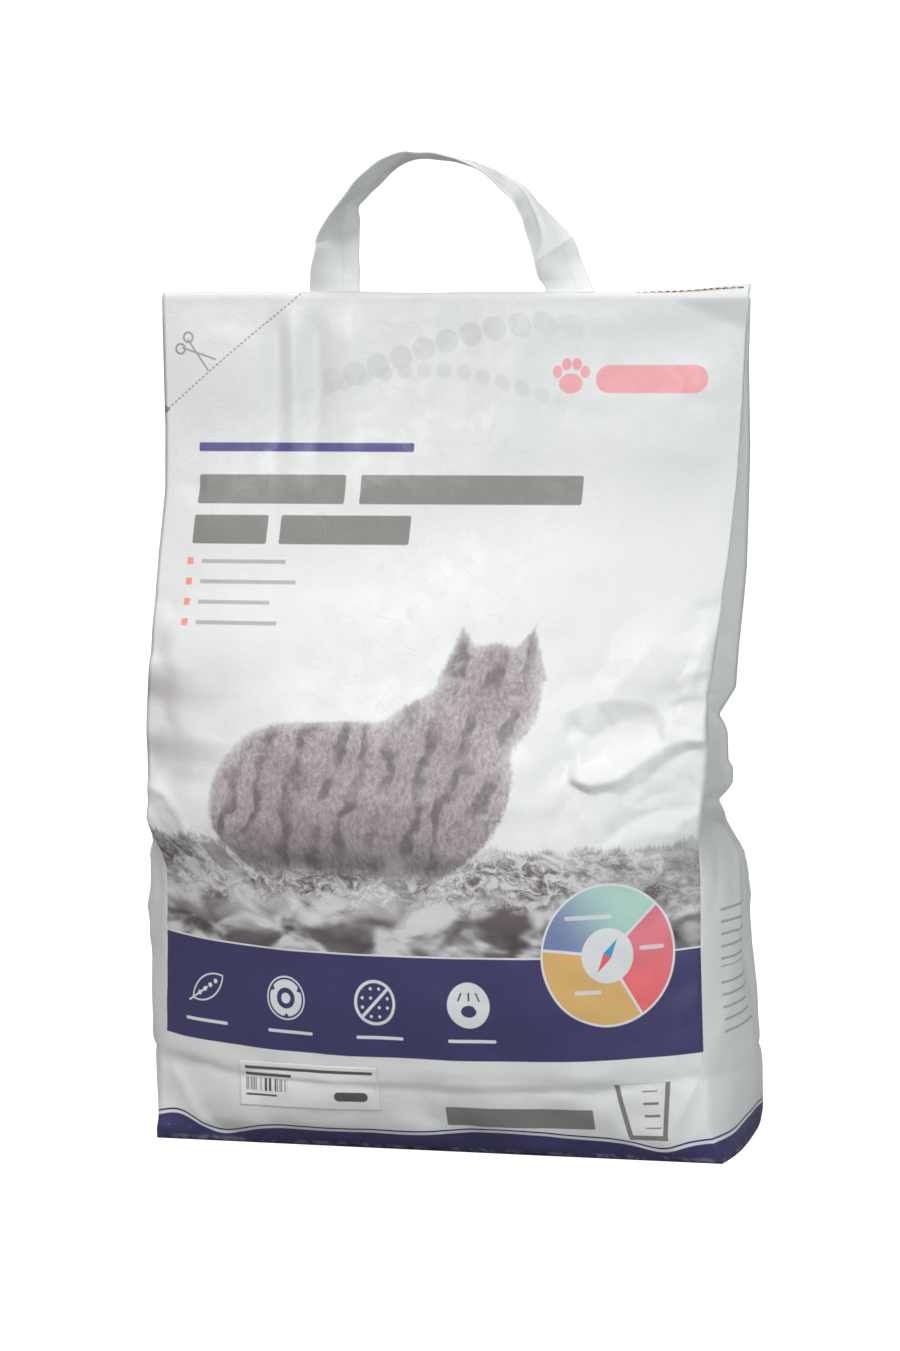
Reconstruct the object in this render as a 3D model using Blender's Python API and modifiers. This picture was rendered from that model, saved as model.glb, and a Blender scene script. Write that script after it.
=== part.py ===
"""A sewn paper litter bag with a folded paper carry handle, in metres, +Z up.

The bag stands on its block bottom, with the origin at the middle of the base and the front facing -Y.
Five pieces: the filled bag, the handle, the two threads of the hem seam, and a small adhesive label.
"""

import math

import bmesh
import bpy
from mathutils import Vector

# Paper tube
FLAT_WIDTH = 0.260
GUSSET_HALF = 0.054
FOLD_HEIGHT = 0.3658  # the highest point of the bend where the hem turns back

# Sewn hem
HEM_HALF_THICKNESS = 0.0008
HEM_BEND_RADIUS = 0.0025
HEM_STARTS = FOLD_HEIGHT - HEM_BEND_RADIUS - HEM_HALF_THICKNESS  # where the bend begins
HEM_FLAP = 0.0052  # flat length behind the bend
HEM_END_LIFT = math.radians(50)  # how much less the right end is bent back
HEM_LIFT_FROM = 0.085  # the lift starts at this distance right of the middle

# Pieces that touch keep this gap
GAP = 0.0003
THREAD_GAP = 0.0008  # wider, because the hem's facets are coarser than the threads' steps

# Carry handle
STRAP_WIDTH = 0.023
STRAP_LEFT = -0.0555  # the middles of its ends
STRAP_RIGHT = 0.0490
STRAP_HALF_THICKNESS = 0.00045
STRAP_START_TILT = math.pi / 2  # lays the strap's width along X where it starts
STRAP_SQUARE_UP = 0.067  # share of the half turn that its slanted right end takes back

# Seam
THREAD_RADIUS = 0.00045
SEAM_INSET = 0.0040  # from the mouth edge
SEAM_HALF_LENGTH = 0.127
SEAM_STEPS = 60

# Adhesive label on the front
LABEL_LEFT = -0.081
LABEL_RIGHT = -0.019
LABEL_LOW = 0.019
LABEL_HIGH = 0.039
LABEL_THICKNESS = 0.00025

# Side profiles of the filled bag: (height, value)
# Half the distance between the front corner creases.
CREASE_HALF_WIDTH = (
    (0.000, 0.1205),
    (0.004, 0.1218),
    (0.013, 0.1200),
    (0.038, 0.1172),
    (0.080, 0.1160),
    (0.130, 0.1162),
    (0.165, 0.1170),
    (0.200, 0.1200),
    (0.240, 0.1240),
    (0.290, 0.1275),
    (0.330, 0.1292),
    (HEM_STARTS, 0.1300),
)
# Half the depth at the corner creases.
CREASE_HALF_DEPTH = (
    (0.000, 0.0522),
    (0.004, 0.0538),
    (0.038, 0.0540),
    (0.130, 0.0538),
    (0.150, 0.0520),
    (0.180, 0.0452),
    (0.210, 0.0382),
    (0.240, 0.0308),
    (0.270, 0.0233),
    (0.300, 0.0160),
    (0.330, 0.0086),
    (0.350, 0.0036),
    (HEM_STARTS, HEM_HALF_THICKNESS),
)
# How far the middle of the front and the back stands out past their creases.
PANEL_BULGE = (
    (0.000, 0.0000),
    (0.004, 0.0030),
    (0.013, 0.0090),
    (0.038, 0.0205),
    (0.065, 0.0265),
    (0.100, 0.0290),
    (0.130, 0.0280),
    (0.165, 0.0215),
    (0.200, 0.0140),
    (0.240, 0.0080),
    (0.290, 0.0035),
    (0.340, 0.0008),
    (HEM_STARTS, 0.0000),
)
# How far the middle of each side stands out past its creases. Higher up the gusset folds inwards.
SIDE_BULGE = (
    (0.000, 0.0000),
    (0.004, 0.0015),
    (0.013, 0.0060),
    (0.038, 0.0115),
    (0.080, 0.0138),
    (0.110, 0.0100),
    (0.128, 0.0020),
    (0.144, -0.0110),
)
GUSSET_FOLD_FROM = 0.144
GUSSET_SLACK = 0.35  # share of the gusset's width taken up where its fold begins
POCKET_ENDS = 0.346  # above this height the gusset's plies come together in the hem

PANEL_STEPS = 12
SIDE_STEPS = 3  # on each side of the gusset's centre fold
LEVELS = (
    0.000, 0.0015, 0.004, 0.008, 0.013, 0.025, 0.038, 0.052, 0.066, 0.082, 0.098, 0.114, 0.128, 0.136,
    0.144, 0.155, 0.168, 0.182, 0.200, 0.220, 0.242, 0.266, 0.290, 0.312, 0.330, 0.340, 0.346, 0.354, HEM_STARTS,
)


def read_profile(profile, height):
    """The profile's value at a height: straight lines between its points, level beyond its ends."""
    if height <= profile[0][0]:
        return profile[0][1]
    for (low, first), (high, second) in zip(profile, profile[1:]):
        if height <= high:
            share = (height - low) / (high - low)
            return first + (second - first) * share
    return profile[-1][1]


def smooth_step(value, low, high):
    share = min(max((value - low) / (high - low), 0.0), 1.0)
    return share * share * (3 - 2 * share)


def gusset_reach(height):
    """How far the gusset's centre fold stands out past the side creases, negative where it folds in."""
    if height <= GUSSET_FOLD_FROM:
        return read_profile(SIDE_BULGE, height)
    depth = read_profile(CREASE_HALF_DEPTH, height)
    tight = -math.sqrt(max(GUSSET_HALF**2 - depth**2, 0.0))
    settled = smooth_step(height, GUSSET_FOLD_FROM, GUSSET_FOLD_FROM + 0.05)
    folded = tight * (GUSSET_SLACK + (1 - GUSSET_SLACK) * settled)
    start = read_profile(SIDE_BULGE, GUSSET_FOLD_FROM)
    folded = start + (folded - start) * smooth_step(height, GUSSET_FOLD_FROM, GUSSET_FOLD_FROM + 0.02)
    return folded * (1 - smooth_step(height, POCKET_ENDS - 0.016, POCKET_ENDS + 0.012))


def front_depth(x, height):
    """How far the front face stands out from the middle plane at a place across it."""
    half = read_profile(CREASE_HALF_WIDTH, height)
    across = min(abs(x) / half, 1.0)
    return read_profile(CREASE_HALF_DEPTH, height) + read_profile(PANEL_BULGE, height) * (1 - across**2.6)


def section(height):
    """One closed ring of the bag, anticlockwise from above, starting at the front left crease."""
    half = read_profile(CREASE_HALF_WIDTH, height)
    depth = read_profile(CREASE_HALF_DEPTH, height)
    reach = gusset_reach(height)
    front = []
    for step in range(PANEL_STEPS + 1):
        x = -half + 2 * half * step / PANEL_STEPS
        front.append((x, -front_depth(x, height)))
    right = []
    for step in range(1, 2 * SIDE_STEPS):
        share = step / SIDE_STEPS - 1
        rise = 1 - abs(share) if reach < 0 else 1 - share**2
        right.append((half + reach * rise, depth * share))
    back = [(-x, -y) for x, y in front]
    left = [(-x, -y) for x, y in right]
    return [Vector((x, y, height)) for x, y in front + right + back + left]


def hem_turn(x):
    """How far the hem is bent back at a place across the bag: a quarter turn, less near its right end."""
    return math.pi / 2 - HEM_END_LIFT * smooth_step(x, HEM_LIFT_FROM, FLAT_WIDTH / 2)


def hem_point(x, along, out):
    """A point by the hem's middle surface, at a distance past the start of the bend.

    The middle surface is an arc and then a straight flap. A positive out stands off its outer face, which
    looks forwards below the bend and upwards behind it.
    """
    turn = hem_turn(x)
    arc = turn * HEM_BEND_RADIUS
    angle = min(along, arc) / HEM_BEND_RADIUS
    y = HEM_BEND_RADIUS * (1 - math.cos(angle))
    z = HEM_STARTS + HEM_BEND_RADIUS * math.sin(angle)
    past = max(along - arc, 0.0)
    y += past * math.sin(angle)
    z += past * math.cos(angle)
    return Vector((x, y - out * math.cos(angle), z + out * math.sin(angle)))


def hem_ring(along):
    """The bag's ring in the hem, with the same count of points as a section."""
    half = FLAT_WIDTH / 2
    across = [-half + 2 * half * step / PANEL_STEPS for step in range(PANEL_STEPS + 1)]
    outs = [HEM_HALF_THICKNESS * (1 - step / SIDE_STEPS) for step in range(1, 2 * SIDE_STEPS)]
    ring = [hem_point(x, along, HEM_HALF_THICKNESS) for x in across]
    ring += [hem_point(half, along, out) for out in outs]
    ring += [hem_point(-x, along, -HEM_HALF_THICKNESS) for x in across]
    ring += [hem_point(-half, along, -out) for out in outs]
    return ring


def material(name, colour, roughness, metallic=0.0):
    made = bpy.data.materials.new(name)
    made.use_nodes = True
    shader = made.node_tree.nodes["Principled BSDF"]
    shader.inputs["Base Color"].default_value = (*colour, 1.0)
    shader.inputs["Roughness"].default_value = roughness
    shader.inputs["Metallic"].default_value = metallic
    return made


def add_mesh(name, mesh, finish, collection):
    piece = bpy.data.objects.new(name, mesh)
    piece.data.materials.append(finish)
    collection.objects.link(piece)
    return piece


def loft(name, rings):
    """A closed mesh skinned over rings of equal count, with a flat cap on each end."""
    bm = bmesh.new()
    rows = [[bm.verts.new(point) for point in ring] for ring in rings]
    count = len(rows[0])
    for low, high in zip(rows, rows[1:]):
        for i in range(count):
            j = (i + 1) % count
            bm.faces.new((low[i], low[j], high[j], high[i]))
    bm.faces.new(list(reversed(rows[0])))
    bm.faces.new(rows[-1])
    bmesh.ops.triangulate(bm, faces=bm.faces[:])
    mesh = bpy.data.meshes.new(name)
    bm.to_mesh(mesh)
    bm.free()
    return mesh


def make_filled_bag(collection):
    """The paper web and its fill as one sealed solid, from the flat base to the bent hem."""
    whole_turn = HEM_BEND_RADIUS * math.pi / 2
    alongs = [whole_turn * share for share in (0.25, 0.5, 0.75, 1.0)]
    alongs += [whole_turn + HEM_FLAP * share for share in (0.5, 1.0)]
    rings = [section(height) for height in LEVELS] + [hem_ring(along) for along in alongs]
    mesh = loft("filled_bag", rings)
    paper = material("printed_paper", (0.78, 0.79, 0.78), 0.6)
    bag = add_mesh("filled_bag", mesh, paper, collection)
    mesh.shade_smooth()
    mesh.set_sharp_from_angle(angle=math.radians(25))
    return bag


def make_carry_handle(collection):
    """A flat strap that lies on the hem, turns up, and arches over with half a twist along its length.

    The left end shows its inner face to the front and the right end its outer face, so the tilt runs from
    nothing to half a turn.
    """
    on_hem = FOLD_HEIGHT + GAP + STRAP_HALF_THICKNESS
    # x, y, z and the share of the half turn
    route = (
        (STRAP_LEFT, 0.0020, on_hem, 0.00),
        (STRAP_LEFT, 0.0065, on_hem + 0.0002, 0.00),
        (-0.0553, 0.0092, 0.3692, 0.00),
        (-0.0550, 0.0095, 0.3800, 0.03),
        (-0.0540, 0.0095, 0.3940, 0.16),
        (-0.0465, 0.0095, 0.4100, 0.32),
        (-0.0300, 0.0095, 0.4225, 0.44),
        (-0.0090, 0.0095, 0.4257, 0.50),
        (0.0110, 0.0095, 0.4205, 0.57),
        (0.0265, 0.0095, 0.4100, 0.70),
        (0.0375, 0.0095, 0.3955, 0.86),
        (0.0440, 0.0095, 0.3800, 0.96),
        (0.0485, 0.0092, 0.3692, 1.00 - STRAP_SQUARE_UP / 2),
        (STRAP_RIGHT, 0.0065, on_hem + 0.0002, 1.00 - STRAP_SQUARE_UP),
        (STRAP_RIGHT, 0.0020, on_hem, 1.00 - STRAP_SQUARE_UP),
    )
    curve = bpy.data.curves.new("carry_handle", "CURVE")
    curve.dimensions = "3D"
    curve.twist_mode = "MINIMUM"
    curve.resolution_u = 5
    curve.fill_mode = "FULL"
    curve.use_fill_caps = True
    curve.extrude = STRAP_WIDTH / 2 - STRAP_HALF_THICKNESS
    curve.bevel_depth = STRAP_HALF_THICKNESS
    curve.bevel_resolution = 0
    spline = curve.splines.new("BEZIER")
    spline.bezier_points.add(len(route) - 1)
    for point, (x, y, z, turned) in zip(spline.bezier_points, route):
        point.co = (x, y, z)
        point.handle_left_type = "AUTO"
        point.handle_right_type = "AUTO"
        point.tilt = math.pi * turned + STRAP_START_TILT
    curve.materials.append(material("strap_paper", (0.72, 0.73, 0.73), 0.55))
    handle = bpy.data.objects.new("carry_handle", curve)
    collection.objects.link(handle)
    return handle


def over_straps(x):
    """How much further from the hem the needle thread runs where it crosses a strap's end."""
    reach = STRAP_WIDTH / 2
    lift = 2 * STRAP_HALF_THICKNESS + GAP
    nearest = min(abs(x - STRAP_LEFT), abs(x - STRAP_RIGHT))
    return lift * (1 - smooth_step(nearest, reach + 0.004, reach + 0.011))


def make_thread(name, side, colour, collection):
    """One thread of the hem seam: side is 1 on the hem's outer face and -1 on its inner face."""
    curve = bpy.data.curves.new(name, "CURVE")
    curve.dimensions = "3D"
    curve.fill_mode = "FULL"
    curve.use_fill_caps = True
    curve.bevel_depth = THREAD_RADIUS
    curve.bevel_resolution = 1
    spline = curve.splines.new("POLY")
    spline.points.add(SEAM_STEPS)
    seam = HEM_BEND_RADIUS * math.pi / 2 + HEM_FLAP - SEAM_INSET
    for step, point in enumerate(spline.points):
        x = SEAM_HALF_LENGTH * (2 * step / SEAM_STEPS - 1)
        out = HEM_HALF_THICKNESS + THREAD_GAP + THREAD_RADIUS
        out += over_straps(x) if side > 0 else 0.0
        point.co = (*hem_point(x, seam, side * out), 1.0)
    curve.materials.append(material(name + "_cotton", colour, 0.8))
    thread = bpy.data.objects.new(name, curve)
    collection.objects.link(thread)
    return thread


def make_shelf_label(collection):
    """A thin adhesive label that follows the front's curve, a gap away from it."""
    columns, rows = 8, 3
    bm = bmesh.new()
    grid = []
    for row in range(rows + 1):
        height = LABEL_LOW + (LABEL_HIGH - LABEL_LOW) * row / rows
        line = []
        for column in range(columns + 1):
            x = LABEL_LEFT + (LABEL_RIGHT - LABEL_LEFT) * column / columns
            line.append(bm.verts.new((x, -front_depth(x, height) - GAP, height)))
        grid.append(line)
    for low, high in zip(grid, grid[1:]):
        for i in range(columns):
            bm.faces.new((low[i], low[i + 1], high[i + 1], high[i]))
    mesh = bpy.data.meshes.new("shelf_label")
    bm.to_mesh(mesh)
    bm.free()
    label = add_mesh("shelf_label", mesh, material("label_paper", (0.84, 0.84, 0.83), 0.5), collection)
    wall = label.modifiers.new("thickness", "SOLIDIFY")
    wall.thickness = LABEL_THICKNESS
    wall.offset = 1.0
    return label


def main():
    for old in list(bpy.data.objects):
        bpy.data.objects.remove(old)
    collection = bpy.data.collections.new("litter_bag")
    bpy.context.scene.collection.children.link(collection)
    make_filled_bag(collection)
    make_carry_handle(collection)
    make_thread("needle_thread", 1, (0.62, 0.43, 0.25), collection)
    make_thread("looper_thread", -1, (0.62, 0.43, 0.25), collection)
    make_shelf_label(collection)


main()
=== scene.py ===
"""A sewn paper litter bag with a folded paper carry handle, laid out as a Blender add-on and run as a script.

Lengths are in metres, +Z is up and the printed front faces -Y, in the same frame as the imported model.
"""

import math

import bmesh
import bpy
import numpy as np
from bpy.props import FloatProperty, FloatVectorProperty, IntProperty, PointerProperty
from bpy.types import Operator, Panel, PropertyGroup
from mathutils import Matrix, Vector


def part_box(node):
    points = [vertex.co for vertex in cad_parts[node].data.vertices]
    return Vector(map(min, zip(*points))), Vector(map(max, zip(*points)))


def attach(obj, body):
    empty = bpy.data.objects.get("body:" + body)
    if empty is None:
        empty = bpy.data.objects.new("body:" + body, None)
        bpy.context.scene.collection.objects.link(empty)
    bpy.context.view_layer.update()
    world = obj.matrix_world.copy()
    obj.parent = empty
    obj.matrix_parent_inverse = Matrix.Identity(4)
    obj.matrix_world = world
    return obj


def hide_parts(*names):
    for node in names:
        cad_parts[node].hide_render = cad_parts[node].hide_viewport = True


bl_info = {
    "name": "Paper litter bag",
    "version": (1, 0, 0),
    "blender": (4, 5, 0),
    "location": "3D View > Sidebar > Litter bag",
    "description": "Builds a filled paper litter bag with its print, handle, seam and label",
    "category": "Add Mesh",
}

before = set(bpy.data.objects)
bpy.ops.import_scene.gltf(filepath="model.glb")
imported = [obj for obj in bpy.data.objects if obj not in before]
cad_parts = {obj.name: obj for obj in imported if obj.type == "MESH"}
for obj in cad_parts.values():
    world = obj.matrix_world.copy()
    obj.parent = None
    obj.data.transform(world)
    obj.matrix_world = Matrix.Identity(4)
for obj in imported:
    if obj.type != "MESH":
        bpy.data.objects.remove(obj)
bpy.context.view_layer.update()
LABEL_LOW, LABEL_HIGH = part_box("shelf_label")

MM = 0.001
HALF_WEB = 0.130  # half the width of the front panel, laid flat
GUSSET_HALF = 0.054  # one ply of a gusset, from its crease to its centre fold
SWELL = 2.6  # the power of the front's bulge across the bag
BACK_MIDDLE = 2 * HALF_WEB + 2 * GUSSET_HALF  # the back's middle line, measured round from the front's
FOLD_HEIGHT = 0.3658
HEM_HALF = 0.0008  # half the thickness of the hem's plies
HEM_BEND = 0.0025  # the radius that the hem is bent back round
HEM_FLAP = 0.0052
HEM_LENGTH = HEM_BEND * math.pi / 2 + HEM_FLAP
HEM_STARTS = FOLD_HEIGHT - HEM_BEND - HEM_HALF
SEAM_ALONG = HEM_LENGTH - 0.0028
SEAM_START, SEAM_LENGTH = -0.127, 0.2540
STRAP_ENDS = (-0.0555, 0.0490)  # the middles of the strap's sewn ends
BASE_PRINT = 0.2  # how far below the front's foot the base lies in paper coordinates, clear of the print


# ---------------------------------------------------------------- settings


class BagShape(PropertyGroup):
    """Sizes of the filled bag."""

    front_steps: IntProperty(name="Front steps", description="Steps across the front", default=160, min=40)
    side_steps: IntProperty(name="Side steps", description="Grid steps across half a side", default=20, min=6)
    rows: IntProperty(name="Rows", description="Grid rows from the base to the hem", default=192, min=60)
    crease: FloatProperty(name="Crease", description="Depth of the crumples, as a share", default=1.25)
    sag: FloatProperty(
        name="Print sag",
        description="How far the bulge takes up the front's height",
        default=0.0035,
        unit="LENGTH",
    )


def colour(name, description, value):
    return FloatVectorProperty(name=name, description=description, subtype="COLOR", size=3, default=value)


class BagColours(PropertyGroup):
    """Colours of the paper and of its print."""

    paper: colour("Paper", "Coated paper", (0.765, 0.768, 0.755))
    navy: colour("Navy", "Bands", (0.046, 0.040, 0.130))
    purple: colour("Purple", "Upper rule", (0.075, 0.062, 0.225))
    grey: colour("Grey", "Bars and marks", (0.225, 0.222, 0.208))
    pink: colour("Pink", "Upper right mark", (0.72, 0.285, 0.315))
    salmon: colour("Salmon", "Small squares", (0.90, 0.32, 0.23))
    mauve: colour("Mauve", "Picture", (0.150, 0.118, 0.128))


class StrapShape(PropertyGroup):
    """Sizes of the carry handle."""

    width: FloatProperty(name="Width", description="Across the strap", default=0.023, unit="LENGTH")
    thickness: FloatProperty(name="Thickness", description="Of its plies", default=0.0009, unit="LENGTH")


class SeamShape(PropertyGroup):
    """Sizes of the hem's chain stitch."""

    pitch: FloatProperty(name="Pitch", description="Length of a stitch", default=0.0032, unit="LENGTH")
    radius: FloatProperty(name="Thread", description="Half its thickness", default=0.00034, unit="LENGTH")


# ---------------------------------------------------------------- mesh helpers


def smooth(value, low, high):
    """A smooth step: 0 below low, 1 above high, and 3t^2 - 2t^3 between."""
    t = np.clip((value - low) / (high - low), 0, 1)
    return t * t * (3 - 2 * t)


def bump_at(value, middle, width):
    """A bell: exp(-((value - middle) / width)^2)."""
    return np.exp(-(((value - middle) / width) ** 2))


def profile(points, height, blur=0.005):
    """A line through (height, value) points in mm, with its corners rounded by a running mean."""
    table = np.array(points, float) * MM
    fine = np.linspace(-0.03, 0.40, 1721)
    drawn = np.interp(fine, table[:, 0], table[:, 1])
    span = max(int(blur / (fine[1] - fine[0])), 1)
    window = np.hanning(span + 2)[1:-1]
    soft = np.convolve(np.pad(drawn, span, mode="edge"), window / window.sum(), mode="same")[span:-span]
    return np.interp(height, fine, soft)


def noise(x, y, scale, seed):
    """Soft seeded noise from -1 to 1: a sum of twelve plane waves of random direction and phase."""
    rng = np.random.default_rng(seed)
    total = np.zeros(np.broadcast(x, y).shape)
    for _ in range(12):
        angle, phase = rng.uniform(0, 2 * math.pi, 2)
        rate = 2 * math.pi / scale * rng.uniform(0.6, 1.5)
        total += np.sin((x * math.cos(angle) + y * math.sin(angle)) * rate + phase)
    return total / 4


def envelope(x, y, size, rng, low, high):
    """The largest of many caps t.d - 0.8 |d|^2, d being the offset from a cap's centre over the cell size."""
    count = int((high[0] - low[0]) * (high[1] - low[1]) / size**2)
    value = np.full(x.shape, -1e9)
    for (mx, my), (tx, ty) in zip(rng.uniform(low, high, (count, 2)), rng.normal(0, 0.9, (count, 2))):
        dx, dy = (x - mx) / size, (y - my) / size
        value = np.maximum(value, tx * dx + ty * dy - 0.8 * (dx * dx + dy * dy))
    return value


def facets(x, y, size, seed, low, high):
    """Crumpled paper: one creased envelope less another, so that valleys and ridges cross."""
    rng = np.random.default_rng(seed)
    both = [envelope(x, y, size * scale, rng, low, high) for scale in (1.0, 1.25)]
    return np.clip(both[0] - both[1], -1.6, 1.6)


def to_line(x, y, points):
    """Signed distance to a line of points in mm (positive on its left side), and the share along it."""
    table = np.array(points, float) * MM
    lengths = np.hypot(*np.diff(table, axis=0).T)
    total = lengths.sum()
    best = np.full(x.shape, 1e9)
    signed = np.zeros(x.shape)
    share = np.zeros(x.shape)
    walked = 0.0
    for start, end, length in zip(table, table[1:], lengths):
        ux, uy = (end - start) / length
        t = np.clip((x - start[0]) * ux + (y - start[1]) * uy, 0, length)
        dx, dy = x - start[0] - ux * t, y - start[1] - uy * t
        distance = np.hypot(dx, dy)
        nearer = distance < best
        best = np.where(nearer, distance, best)
        signed = np.where(nearer, distance * np.sign(ux * dy - uy * dx), signed)
        share = np.where(nearer, (walked + t) / total, share)
        walked += length
    return signed, share


def fold(x, y, points, depth, left=0.008, right=0.008):
    """A crease along a line: it falls off as exp(-distance / width), with its own width on each side.

    A positive depth (mm) is a ridge and a negative one is a valley. It fades out towards both ends.
    """
    signed, share = to_line(x, y, points)
    ends = np.clip(np.minimum(share, 1 - share) * 8, 0, 1)
    width = np.where(signed > 0, left, right)
    return depth * MM * np.exp(-np.abs(signed) / width) * (0.25 + 0.75 * ends)


def step(x, y, points, depth, left=0.012, right=0.002):
    """A one-sided fold: raised on the line's left side, falling away slowly there and fast on the right."""
    signed, share = to_line(x, y, points)
    ends = np.clip(np.minimum(share, 1 - share) * 5, 0, 1)
    raised = np.where(signed > 0, np.exp(-signed / left), np.exp(signed / right) * 2 - 1)
    reach = np.where(signed > 0, 1.0, np.exp(signed / left))
    return depth * MM * raised * reach * ends


def put_mesh(name, points, quads, uv=None):
    """A mesh object from arrays: points (n, 3), quads (m, 4) and one uv pair for each quad's corner."""
    mesh = bpy.data.meshes.new(name)
    mesh.vertices.add(len(points))
    mesh.vertices.foreach_set("co", np.ascontiguousarray(points, np.float32).ravel())
    mesh.loops.add(quads.size)
    mesh.loops.foreach_set("vertex_index", np.ascontiguousarray(quads, np.int32).ravel())
    mesh.polygons.add(len(quads))
    mesh.polygons.foreach_set("loop_start", np.arange(0, quads.size, 4, dtype=np.int32))
    mesh.polygons.foreach_set("use_smooth", np.full(len(quads), True))
    mesh.update(calc_edges=True)
    mesh.validate()
    if uv is not None:
        layer = mesh.uv_layers.new(name="paper")
        layer.data.foreach_set("uv", np.ascontiguousarray(uv, np.float32).ravel())
    piece = bpy.data.objects.new(name, mesh)
    bpy.context.scene.collection.objects.link(piece)
    return piece


def grid_quads(rows, columns, wrap=False):
    """Corner indices of a grid's quads, anticlockwise as seen from outside when columns run rightwards."""
    down = np.arange(rows - 1)[:, None] * columns
    across = np.arange(columns if wrap else columns - 1)[None, :]
    after = (across + 1) % columns
    above = down + columns
    return np.stack([down + across, down + after, above + after, above + across], -1).reshape(-1, 4)


def grid_uv(u, v):
    """The uv pairs of each quad's corners on a grid of u and v, which has a last column for the wrap."""
    corners = [(slice(0, -1), slice(0, -1)), (slice(0, -1), slice(1, None)), (slice(1, None), slice(1, None))]
    corners.append((slice(1, None), slice(0, -1)))
    return np.stack([np.stack([u[c], v[c]], -1) for c in corners], -2).reshape(-1, 4, 2)


def closed_rings(name, rings, tips, u, v):
    """A closed piece from rings of points (n, m, 3), its ends closed on two tips: u by ring, v round it."""
    count, sides = rings.shape[:2]
    first, last, base = count * sides, count * sides + 1, (count - 1) * sides
    fans = [(first, (i + 1) % sides, i) for i in range(sides)]
    fans += [(last, base + i, base + (i + 1) % sides) for i in range(sides)]
    mesh = bpy.data.meshes.new(name)
    points = np.concatenate([rings.reshape(-1, 3), tips])
    mesh.from_pydata(points.tolist(), [], grid_quads(count, sides, wrap=True).tolist() + fans)
    mesh.shade_smooth()
    verts = np.empty(len(mesh.loops), np.int32)
    mesh.loops.foreach_get("vertex_index", verts)
    u = np.concatenate([np.repeat(u, sides), [0, u[-1]]])
    v = np.concatenate([np.tile(v, count), [0, 0]])
    layer = mesh.uv_layers.new(name="paper")
    layer.data.foreach_set("uv", np.stack([u[verts], v[verts]], -1).ravel().astype(np.float32))
    face_out(mesh)
    piece = bpy.data.objects.new(name, mesh)
    bpy.context.scene.collection.objects.link(piece)
    return piece


def face_out(mesh):
    """Turns a closed mesh's faces outwards if its signed volume says that they point in."""
    bm = bmesh.new()
    bm.from_mesh(mesh)
    if bm.calc_volume(signed=True) < 0:
        bmesh.ops.reverse_faces(bm, faces=bm.faces[:])
    bm.to_mesh(mesh)
    bm.free()


def tube(name, path, radius, uv_pitch, sides=8):
    """A closed tube along a path (n, 3): rings square to it, with each end closed on one point."""
    along = np.gradient(path, axis=0)
    along /= np.linalg.norm(along, axis=1, keepdims=True)
    side = np.cross(along, (0.0, 0.0, 1.0))
    side /= np.linalg.norm(side, axis=1, keepdims=True)
    up = np.cross(side, along)
    angle = np.arange(sides) * 2 * math.pi / sides
    ring = np.cos(angle)[None, :, None] * side[:, None] + np.sin(angle)[None, :, None] * up[:, None]
    tips = np.stack([path[0] - along[0] * radius * 0.6, path[-1] + along[-1] * radius * 0.6])
    walked = np.concatenate([[0], np.cumsum(np.linalg.norm(np.diff(path, axis=0), axis=1))]) / uv_pitch
    return closed_rings(name, path[:, None] + ring * radius, tips, walked, angle / (2 * math.pi))


# ---------------------------------------------------------------- the bag's form

# Corner creases and depths: (height, place) in mm.
FRONT_RIGHT = (
    (0, 124.6), (5, 122.0), (13, 119.8), (38, 116.8), (92, 115.0), (112, 114.9), (124, 114.6), (135, 113.8),
    (143, 114.6), (152, 115.3), (163, 116.6), (175, 117.2), (185, 116.4), (196, 116.1), (207, 118.0),
    (223, 119.7), (238, 121.0), (252, 122.8), (286, 125.6), (320, 126.8), (350, 127.4), (366, 128.6),
)
FRONT_LEFT = (
    (0, -121.8), (15, -120.0), (49, -116.4), (90, -116.2), (119, -116.2), (127, -118.6), (134, -122.6),
    (140, -125.0), (150, -125.2), (178, -127.2), (195, -127.8), (212, -127.4), (229, -126.8), (255, -126.4),
    (281, -125.4), (307, -127.0), (351, -131.2), (366, -132.4),
)
BACK_RIGHT = (
    (0, 130.6), (20, 127.5), (38, 124.5), (80, 119.4), (97, 119.0), (113, 117.6), (128, 115.4), (136, 113.6),
    (141.4, 111.0), (145.8, 115.2), (149.5, 117.4), (156.4, 117.4), (159.5, 115.4), (171.9, 115.3),
    (176.2, 114.0), (180.5, 111.6), (186.2, 115.2), (193, 119.4), (201.6, 120.1), (213.8, 121.3),
    (231, 123.4), (246.5, 125.0), (270, 126.2), (300, 127.4), (340, 127.4), (366, 129.2),
)
BACK_LEFT = (
    (0, -124.0), (38, -120.0), (80, -119.0), (120, -118.0), (146, -121.0), (160, -119.0), (180, -118.5),
    (210, -121.0), (254, -123.5), (290, -125.5), (350, -130.0), (366, -131.6),
)
HALF_DEPTH = (
    (0, 52.2), (4, 53.8), (38, 54.0), (130, 53.8), (150, 52.0), (180, 45.2), (210, 38.2), (240, 30.8),
    (270, 23.3), (300, 16.0), (330, 8.6), (350, 3.6), (362.5, 0.8),
)
BULGE = (
    (0, 0.0), (4, 3.0), (13, 9.0), (38, 20.5), (65, 26.5), (100, 29.0), (130, 28.0), (165, 21.5), (200, 14.0),
    (240, 8.0), (290, 3.5), (340, 0.8), (360, 0.0),
)
RIGHT_BULGE = (
    (0, 4.5), (4, 6.5), (13, 9.0), (33, 13.0), (55, 12.8), (83, 11.8), (103, 11.4), (116, 10.0), (126, 8.4),
    (132, 6.2), (137, 3.0), (141, -3.0), (146, -9.0),
)
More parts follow.
